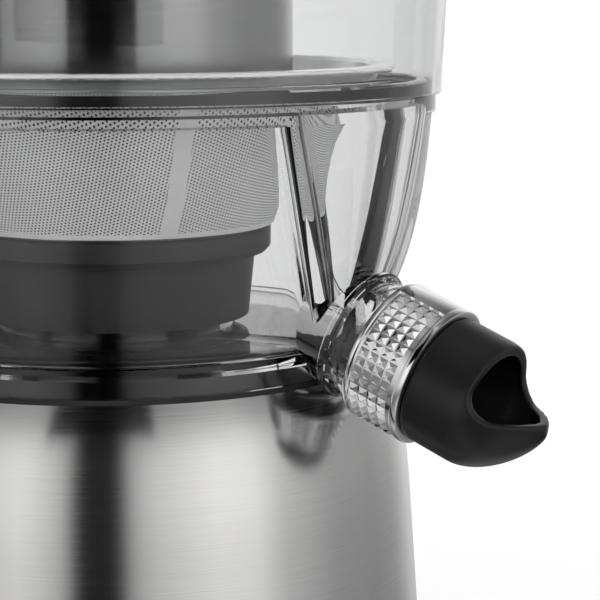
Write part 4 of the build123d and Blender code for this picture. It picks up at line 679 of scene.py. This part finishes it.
def plan_loop(big_r, recess_r, face, soft, spread):
    """Plan of the bowl: round at the spout and at the chute, recessed behind folds between them.

    Counter-clockwise, always with the same number of points; soft is the folds' rounding, which
    spread draws out along the round part."""
    face = min(face, big_r * math.cos(FOLD_TURN + LEAST_POD_TURN))
    recess_r = min(recess_r, big_r - 0.3 * MM)
    at_big = FOLD_TURN - math.acos(face / big_r)
    at_recess = FOLD_TURN - math.acos(face / recess_r)
    outer = on_circle(big_r, at_big)
    inner = on_circle(recess_r, at_recess)
    wall = (inner - outer).length
    inward = (inner - outer) / wall
    run = min(soft * 1.8, 0.45 * wall)

    def corner(start, start_way, end, end_way, reach=1.0):
        a, b = start, start + start_way * 0.62 * run
        c, d = end - end_way * 0.62 * run * reach, end
        return [Vector(p) for p in bezier(a, b, c, d, CORNER_STEPS)][1:-1]

    arc_start = min(at_big + run * spread / big_r, max(0.4 * at_big, at_big + run / big_r))
    spread = (arc_start - at_big) * big_r / run
    arc = [on_circle(big_r, arc_start * (1 - 2 * i / ARC_STEPS)) for i in range(ARC_STEPS + 1)]
    recess_end = at_recess - run / recess_r
    recess_start = -math.pi - recess_end
    recess = [on_circle(recess_r, recess_start + (recess_end - recess_start) * i / RECESS_STEPS)
              for i in range(RECESS_STEPS + 1)]
    wall_in = inner - inward * run
    wall_out = outer + inward * run
    inner_corner = corner(recess[-1], heading(recess_end), wall_in, -inward)
    wall_line = [wall_in.lerp(wall_out, i / WALL_STEPS) for i in range(WALL_STEPS + 1)]
    outer_corner = corner(wall_out, -inward, arc[0], heading(arc_start), spread)
    right = inner_corner + wall_line + outer_corner
    left = [Vector((-p.x, p.y)) for p in reversed(right)]
    front = left + recess + right
    return arc + [-p for p in front] + [-p for p in arc] + front


def bowl_side(inset, low):
    """(round radius, height) up the bowl's side, as the moulding's outline has it."""
    tall = SIDE_HIGH - FLANGE_TOP
    return [Vector(p) for p in bezier(
        (SKIRT_R + 0.2 * MM - 1.5 * inset, low), (RIM_R - 3.5 * MM - inset, low + 0.214 * tall),
        (RIM_R - 1.4 * MM - inset, SIDE_HIGH - 0.465 * tall), (RIM_R - inset, SIDE_HIGH), 30)]


def recess_radius(inset, low, z):
    """Radius of the recessed walls at a height."""
    low_r = SKIRT_R - 0.2 * MM - inset
    top_r = RIM_R - RECESS_DEEP - inset
    if z < KNEE_Z:
        return low_r - 0.4 * MM * (KNEE_Z - z) / (KNEE_Z - low)
    return low_r + (top_r - low_r) * (z - KNEE_Z) / (SIDE_HIGH - KNEE_Z)


def fold_face(inset, z):
    """How far from the spin axis the plane of a fold's wall passes at a height."""
    return RIM_R - FOLD_IN + FOLD_DRAFT * (RIM_Z - z) + inset


def side_loops(inset, low, soft, top, spread=1.0):
    """Plan loops up the bowl's side."""
    levels = [(r, z) for r, z in bowl_side(inset, low) if z < top - 0.5 * MM]
    levels.append((RIM_R - inset - 0.1 * MM, top))
    loops = []
    for radius, z in levels:
        plan = plan_loop(radius, recess_radius(inset, low, z), fold_face(inset, z), soft, spread)
        loops.append([Vector((p.x, p.y, z)) for p in plan])
    return loops


def bowl_outside():
    """The moulding's outer form, filled solid from the hub's edge."""
    edge = 0.35 * MM
    flange_r = SKIRT_R + 0.7 * MM
    loops = [circle(radius, z) for radius, z in (
        (HUB_R, FLOOR_LOW), (SKIRT_R - SKIRT_WALL, FLOOR_LOW), (SKIRT_R - SKIRT_WALL, DECK_Z),
        (SKIRT_R - edge, DECK_Z), (SKIRT_R, DECK_Z + edge), (SKIRT_R, FLOOR_LOW),
        (flange_r - 0.2 * MM, FLOOR_LOW), (flange_r, FLOOR_LOW + 0.3 * MM),
        (flange_r, FLANGE_TOP - 0.3 * MM), (flange_r - 0.2 * MM, FLANGE_TOP))]
    loops += side_loops(0, FLANGE_TOP, FOLD_SOFT, SHELF_LOW)
    loops += [circle(radius, z) for radius, z in (
        (RIM_R, SHELF_LOW), (RIM_R, RIM_Z - 0.5 * MM), (RIM_R - 0.15 * MM, RIM_Z - 0.15 * MM),
        (RIM_R - 0.5 * MM, RIM_Z), (NECK_R + 0.2 * MM, RIM_Z), (NECK_R, RIM_Z + 0.2 * MM),
        (NECK_R, NECK_TOP - 0.5 * MM), (NECK_R - 0.5 * MM, NECK_TOP), (HUB_R, NECK_TOP))]
    return stack_mixed(loops)


def bowl_inside():
    """The space round the hub, up to the shelf under the rim."""
    floor = DECK_Z + 7.4 * MM
    side_top = RIM_Z - 2.6 * MM
    loops = [circle(HUB_OUT, floor)]
    loops += side_loops(BOWL_WALL, floor, HOLLOW_SOFT, side_top, HOLLOW_SPREAD)
    loops += [circle(HUB_R - MM, side_top), circle(HUB_R - MM, HUB_TOP), circle(HUB_OUT, HUB_TOP)]
    return stack_mixed(loops)


def spout_solid(points):
    return rod(points, 72, SPOUT_AT, SPOUT_ALONG, SPOUT_UP)


def make_bowl():
    """The clear juice bowl: one watertight moulding with its folded recesses and spout tube."""
    bowl = loose("bowl_moulding", *bowl_outside())
    soft = 0.5 * MM
    tube = spout_solid([
        (TUBE_R, TUBE_BACK), (TUBE_R, RING_BACK), (TUBE_RING_R - soft, RING_BACK),
        (TUBE_RING_R, RING_BACK + soft), (TUBE_RING_R, RING_FRONT - soft),
        (TUBE_RING_R - soft, RING_FRONT), (TUBE_R + 0.6 * MM, RING_FRONT), (TUBE_R, -6 * MM),
        (TUBE_R, TUBE_END - soft), (TUBE_R - soft, TUBE_END)])
    combine(bowl, loose("spout_tube", *tube), "UNION")
    combine(bowl, loose("bowl_hollow", *bowl_inside()), "DIFFERENCE")
    mouth_r = NECK_R - BOWL_WALL
    mouth = rod([(mouth_r, RIM_Z - 2.8 * MM), (mouth_r, NECK_TOP + 2 * MM)], 256, ORIGIN, UP,
                Vector((1, 0, 0)))
    combine(bowl, loose("bowl_mouth", *mouth), "DIFFERENCE")
    bore = spout_solid([(TUBE_BORE, TUBE_BACK), (TUBE_BORE, 16 * MM)])
    combine(bowl, loose("spout_bore", *bore), "DIFFERENCE")
    edit(bowl, close_slits)
    paint_whole(bowl, "clear_plastic", 40)
    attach(bowl, "bowl")
    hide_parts("juice_bowl")


# ================================ spout collar ===============================================

COLLAR_LONG = 16.3 * MM
COLLAR_R = 17.9 * MM
COLLAR_BORE = 15.75 * MM
PANEL_FLOOR_R = COLLAR_R - 0.8 * MM
PANEL_START = math.radians(15)
PANEL_END = TURN - PANEL_START
FRAME_TURN = 0.5 * MM / COLLAR_R     # the raised frame at the panel's two ends
BACK_RIM, FRONT_RIM = 1.1 * MM, 2.0 * MM
BACK_MOAT, FRONT_MOAT = 0.6 * MM, 1.5 * MM
STUD_ROWS, STUD_COLUMNS = 40, 4
STUD_GROOVE = 0.16 * MM
STUD_TIP = 0.10                      # half the flat top, as a share of a stud's side


def collar_point(radius, along, angle):
    """A point on the collar; the angle turns from the top towards the front."""
    return (SPOUT_AT + SPOUT_ALONG * along
            + (SPOUT_UP * math.cos(angle) + SPOUT_SIDE * math.sin(angle)) * radius)


def collar_outline(floor_r):
    """(radius, distance along) round the collar's section."""
    soft = 0.55 * MM
    front = COLLAR_LONG - FRONT_RIM
    return [
        (COLLAR_BORE, 0.3 * MM), (COLLAR_BORE + 0.3 * MM, 0), (COLLAR_R - soft, 0),
        (COLLAR_R - 0.3 * soft, 0.3 * soft), (COLLAR_R, soft), (COLLAR_R, BACK_RIM - 0.2 * MM),
        (COLLAR_R - 0.05 * MM, BACK_RIM), (floor_r, BACK_RIM + 0.12 * MM),
        (floor_r, front - 0.12 * MM), (COLLAR_R - 0.05 * MM, front),
        (COLLAR_R, front + 0.2 * MM), (COLLAR_R, COLLAR_LONG - soft),
        (COLLAR_R - 0.3 * soft, COLLAR_LONG - 0.3 * soft), (COLLAR_R - soft, COLLAR_LONG),
        (COLLAR_BORE + 0.3 * MM, COLLAR_LONG), (COLLAR_BORE, COLLAR_LONG - 0.3 * MM),
    ]


def collar_ring():
    """The collar's ring, stepped down to the panel's floor between the panel's two ends."""
    steps = 4 * STUD_ROWS
    plain_steps = 20
    angles = [PANEL_START + (PANEL_END - PANEL_START) * i / steps for i in range(steps + 1)]
    angles += [PANEL_END + (TURN + PANEL_START - PANEL_END) * i / plain_steps
               for i in range(1, plain_steps)]
    stations = [(angle, PANEL_START + FRAME_TURN < angle < PANEL_END - FRAME_TURN)
                for angle in angles]
    stations += [(PANEL_START + FRAME_TURN, False), (PANEL_START + 1.3 * FRAME_TURN, True),
                 (PANEL_END - 1.3 * FRAME_TURN, True), (PANEL_END - FRAME_TURN, False)]
    stations.sort(key=lambda station: station[0])
    plain, sunk_in = collar_outline(COLLAR_R), collar_outline(PANEL_FLOOR_R)
    return stack([[collar_point(r, along, angle) for r, along in (sunk_in if sunk else plain)]
                  for angle, sunk in stations])


def stud(along, angle, wide, turn):
    """One four-sided pyramid with a tiny flat top, as corners round its foot and its top."""
    foot_r = PANEL_FLOOR_R - 0.04 * MM
    top_r = COLLAR_R - 0.02 * MM
    corners = ((-1, -1), (1, -1), (1, 1), (-1, 1))
    foot = [collar_point(foot_r, along + 0.5 * wide * a, angle + 0.5 * turn * b)
            for a, b in corners]
    top = [collar_point(top_r, along + STUD_TIP * wide * a, angle + STUD_TIP * turn * b)
           for a, b in corners]
    return foot + top


def make_collar():
    """Polished ring with a framed panel of pyramid studs that leaves its top section plain."""
    verts, faces = collar_ring()
    start = PANEL_START + 1.6 * FRAME_TURN
    row_turn = (TURN - 2 * start) / STUD_ROWS
    wide = (COLLAR_LONG - BACK_RIM - FRONT_RIM - BACK_MOAT - FRONT_MOAT) / STUD_COLUMNS
    for row in range(STUD_ROWS):
        for column in range(STUD_COLUMNS):
            base = len(verts)
            verts += stud(BACK_RIM + BACK_MOAT + wide * (column + 0.5),
                          start + row_turn * (row + 0.5), wide - STUD_GROOVE,
                          row_turn - STUD_GROOVE / COLLAR_R)
            faces += quads(base, base + 4, 4)
            faces.append((base + 4, base + 5, base + 6, base + 7))
            faces.append((base + 3, base + 2, base + 1, base))
    collar = add_piece("studded_collar", verts, faces, "chrome_trim", "spout", 24)
    edit(collar, face_outwards)
    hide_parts("spout_collar")


# ================================ spout nozzle ===============================================

NOZZLE_R = 16.3 * MM
NOZZLE_LONG = 31 * MM
NOZZLE_WALL = 2.6 * MM
BARREL_LONG = 12.1 * MM
SEAT_BORE = 11 * MM
SEAT_R = 15.2 * MM
BROW = 14.9 * MM                     # the mouth starts this far out
LIP_UP = 1.0 * MM
LIP_RISE = 2.9 * MM                  # the lip's climb from the brow to past the tip
MOUTH_ROUND = 6.2 * MM
PAST_TIP = 35 * MM
PAST_TOP = 40 * MM


def nose(radius, reach, start):
    """(radius, distance along) of a barrel that closes in a round nose."""
    curve = bezier((radius, BARREL_LONG), (radius, BARREL_LONG + 0.38 * (reach - BARREL_LONG)),
                   (0.46 * radius, reach - 2.3 * MM), (0.0, reach), 40)
    return [(radius, start)] + curve[:-1]


def mouth_outline():
    """Everything above the leaning lip, back to the brow, with a rounded inner corner."""
    lean = math.atan2(LIP_RISE, PAST_TIP - BROW)
    centre = (BROW + MOUTH_ROUND, LIP_UP + MOUTH_ROUND / math.cos(lean))
    outline = [(BROW, PAST_TOP)]
    for i in range(13):
        angle = math.pi + (math.pi / 2 + lean) * i / 12
        outline.append((centre[0] + MOUTH_ROUND * math.cos(angle),
                        centre[1] + MOUTH_ROUND * math.sin(angle)))
    return outline + [(PAST_TIP, LIP_UP + LIP_RISE), (PAST_TIP, PAST_TOP)]


def make_nozzle():
    """Satin black drip-stop nozzle: a closed nose with a scooped mouth and a thick round lip."""
    seat = SPOUT_AT + SPOUT_ALONG * COLLAR_LONG

    def solid(name, points):
        return loose(name, *rod(points, 96, seat, SPOUT_ALONG, SPOUT_UP))

    shell = solid("drip_stop_nozzle", nose(NOZZLE_R, NOZZLE_LONG, 0))
    hollow = nose(NOZZLE_R - NOZZLE_WALL, NOZZLE_LONG - NOZZLE_WALL, -2 * MM)
    combine(shell, solid("nozzle_hollow", hollow), "DIFFERENCE")
    section = [(SEAT_BORE, -3 * MM), (SEAT_R, -3 * MM), (SEAT_R, 1.5 * MM), (SEAT_BORE, 1.5 * MM)]
    combine(shell, loose("nozzle_seat", *lathe(section, 96, seat, SPOUT_ALONG, SPOUT_UP)), "UNION")
    near = [seat + SPOUT_ALONG * t + SPOUT_UP * u + SPOUT_SIDE * 30 * MM
            for t, u in mouth_outline()]
    far = [p - SPOUT_SIDE * 60 * MM for p in near]
    n = len(near)
    faces = [tuple(range(n)), tuple(reversed(range(n, 2 * n)))]
    faces += [(i, i + n, (i + 1) % n + n, (i + 1) % n) for i in range(n)]
    combine(shell, loose("nozzle_mouth", near + far, faces), "DIFFERENCE")
    remesh = shell.modifiers.new("skin", "REMESH")
    remesh.mode = "VOXEL"
    remesh.voxel_size = 0.34 * MM
    smooth = shell.modifiers.new("round", "SMOOTH")
    smooth.factor = 0.6
    smooth.iterations = 14
    bake_modifiers(shell)
    paint_whole(shell, "black_plastic", None)
    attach(shell, "spout")
    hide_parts("spout_nozzle")


# ================================ sieve ======================================================

SEAM_TURN = math.radians(-34.7)
SEAM_LEAN = -1.35                    # radians for each metre up the cone
SEAM_HALF = 2.2 * MM
SEAM_CLEAR = 0.8 * MM                # no holes this close to the sheet's edges
SHEET_THICK = 0.8 * MM
PITCH = 1.02 * MM
CELL = PITCH / math.sqrt(3)
HOLE = 0.27 * MM
END_MARGIN = 0.6 * MM
HIGH_R = MESH_HIGH.x
LOW_R = HIGH_R - 25.7 * MM
TALL = MESH_HIGH.z - MESH_LOW.z
SLANT = math.hypot(HIGH_R - LOW_R, TALL)
SINE = (HIGH_R - LOW_R) / SLANT
NEAR, FAR = LOW_R / SINE, HIGH_R / SINE     # the flat sheet's two radii
SWEEP = TURN * SINE


def cone_radius(at):
    """The cone's radius at a distance up its slope."""
    return (NEAR + at) * SINE


def cone_z(at):
    return MESH_LOW.z + at * TALL / SLANT


def roll(x, y):
    """A point of the flat sheet, on the cone."""
    run = math.hypot(x, y)
    angle = math.atan2(y, x) / SINE + SEAM_TURN
    return Vector((run * SINE * math.cos(angle), run * SINE * math.sin(angle), cone_z(run - NEAR)))


def hole_places():
    """Centres of the flat sheet's holes, in even rows, clear of all its edges."""
    rows = int(FAR / (1.5 * CELL)) + 2
    columns = int(FAR / PITCH) + 2
    for row in range(-rows, rows + 1):
        y = row * 1.5 * CELL
        for column in range(-columns, columns + 1):
            x = (column + 0.5 * (row % 2)) * PITCH
            run = math.hypot(x, y)
            edge_turn = 0.5 * SWEEP - abs(math.atan2(y, x))
            if NEAR + END_MARGIN <= run <= FAR - END_MARGIN and edge_turn * run >= SEAM_CLEAR:
                yield x, y


def punched_sheet():
    """A hexagon of sheet round every hole; neighbours share their corners."""
    verts = []
    faces = []
    shared = {}

    def corner(x, y):
        key = (round(x / (0.02 * MM)), round(y / (0.02 * MM)))
        if key not in shared:
            shared[key] = len(verts)
            verts.append(roll(x, y))
        return shared[key]

    for x, y in hole_places():
        outer = []
        inner = []
        for i in range(6):
            a = math.radians(30 + 60 * i)
            outer.append(corner(x + CELL * math.cos(a), y + CELL * math.sin(a)))
            inner.append(len(verts))
            verts.append(roll(x + HOLE * math.cos(a), y + HOLE * math.sin(a)))
        for i in range(6):
            j = (i + 1) % 6
            faces.append((outer[i], outer[j], inner[j], inner[i]))
    return verts, faces


def thicken(sheet):
    """Gives the sheet its thickness inwards, with painted shade on the walls of the holes."""
    sheet.data.materials.append(MATERIALS["hole_wall"])
    thick = sheet.modifiers.new("thickness", "SOLIDIFY")
    thick.thickness = SHEET_THICK
    first = sheet.data.polygons[0]
    outwards = first.normal.dot(Vector((first.center.x, first.center.y, 0))) > 0
    thick.offset = -1 if outwards else 1
    thick.use_flip_normals = not outwards
    # the holes' walls take the painted shade material
    thick.material_offset_rim = 1
    bake_modifiers(sheet)
    soften(sheet, 30)


def make_mesh():
    """The punched cone, in four quarters; gives the first of them."""
    verts, faces = punched_sheet()
    quarters = ([], [], [], [])
    for face in faces:
        at = verts[face[0]]
        quarters[int((math.atan2(at.y, at.x) + math.pi) / (0.5 * math.pi)) % 4].append(face)
    names = ("sieve_rear_left", "sieve_front", "sieve_right", "sieve_rear")
    sheets = []
    for name, part in zip(names, quarters):
        used = sorted({i for face in part for i in face})
        index = {old: new for new, old in enumerate(used)}
        sheet = add_piece(name, [verts[i] for i in used],
                          [tuple(index[i] for i in face) for face in part],
                          "mesh_steel", "basket", None)
        thicken(sheet)
        sheets.append(sheet)
    return sheets[0]


def make_band(name, start, end, lift, material):
    """A thin plain strip round the cone, between two distances up its slope."""
    sunk = -0.1 * MM
    corners = ((start, lift), (end, lift), (end, sunk), (start, sunk))
    verts, faces = stack([circle(cone_radius(at) + out, cone_z(at), 160) for at, out in corners])
    strip = add_piece(name, verts, faces, material, "basket", 30)
    edit(strip, face_outwards)


def make_seam():
    """The welded seam, which leans a little, as the sheet's edge does."""
    steps = 40
    section = ((-1, -0.2 * MM), (-1, 0.06 * MM), (1, 0.06 * MM), (1, -0.2 * MM))
    loops = []
    for i in range(steps + 1):
        at = SLANT * i / steps
        radius = cone_radius(at) + 0.14 * MM
        turn = SEAM_TURN + (at - 0.5 * SLANT) * SEAM_LEAN
        half_turn = SEAM_HALF / radius
        loops.append([Vector(((radius + out) * math.cos(turn + side * half_turn),
                              (radius + out) * math.sin(turn + side * half_turn), cone_z(at)))
                      for side, out in section])
    verts, faces = stack(loops, closed=False)
    faces += [(0, 1, 2, 3), tuple(len(verts) - i for i in (1, 2, 3, 4))]
    seam = add_piece("sieve_seam", verts, faces, "mesh_steel", "basket", 30)
    edit(seam, face_outwards)


def make_sieve():
    """Punched steel cone: a flat pattern of holes rolled up, with two bands and a welded seam."""
    first = make_mesh()
    top = SLANT - 0.1 * MM
    make_band("sieve_top_band", top - 1.4 * MM, top, 0.18 * MM, "band_steel")
    make_band("sieve_foot_band", 0.0, 1.6 * MM, 0.22 * MM, "mesh_steel")
    make_seam()
    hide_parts("sieve_mesh")


# ================================ making =====================================================

aim_camera()
light_studio()
lay_floor()
hang_flag()
dress_nodes()
make_bowl()
make_collar()
make_nozzle()
make_sieve()
bpy.context.scene.view_settings.view_transform = "Standard"
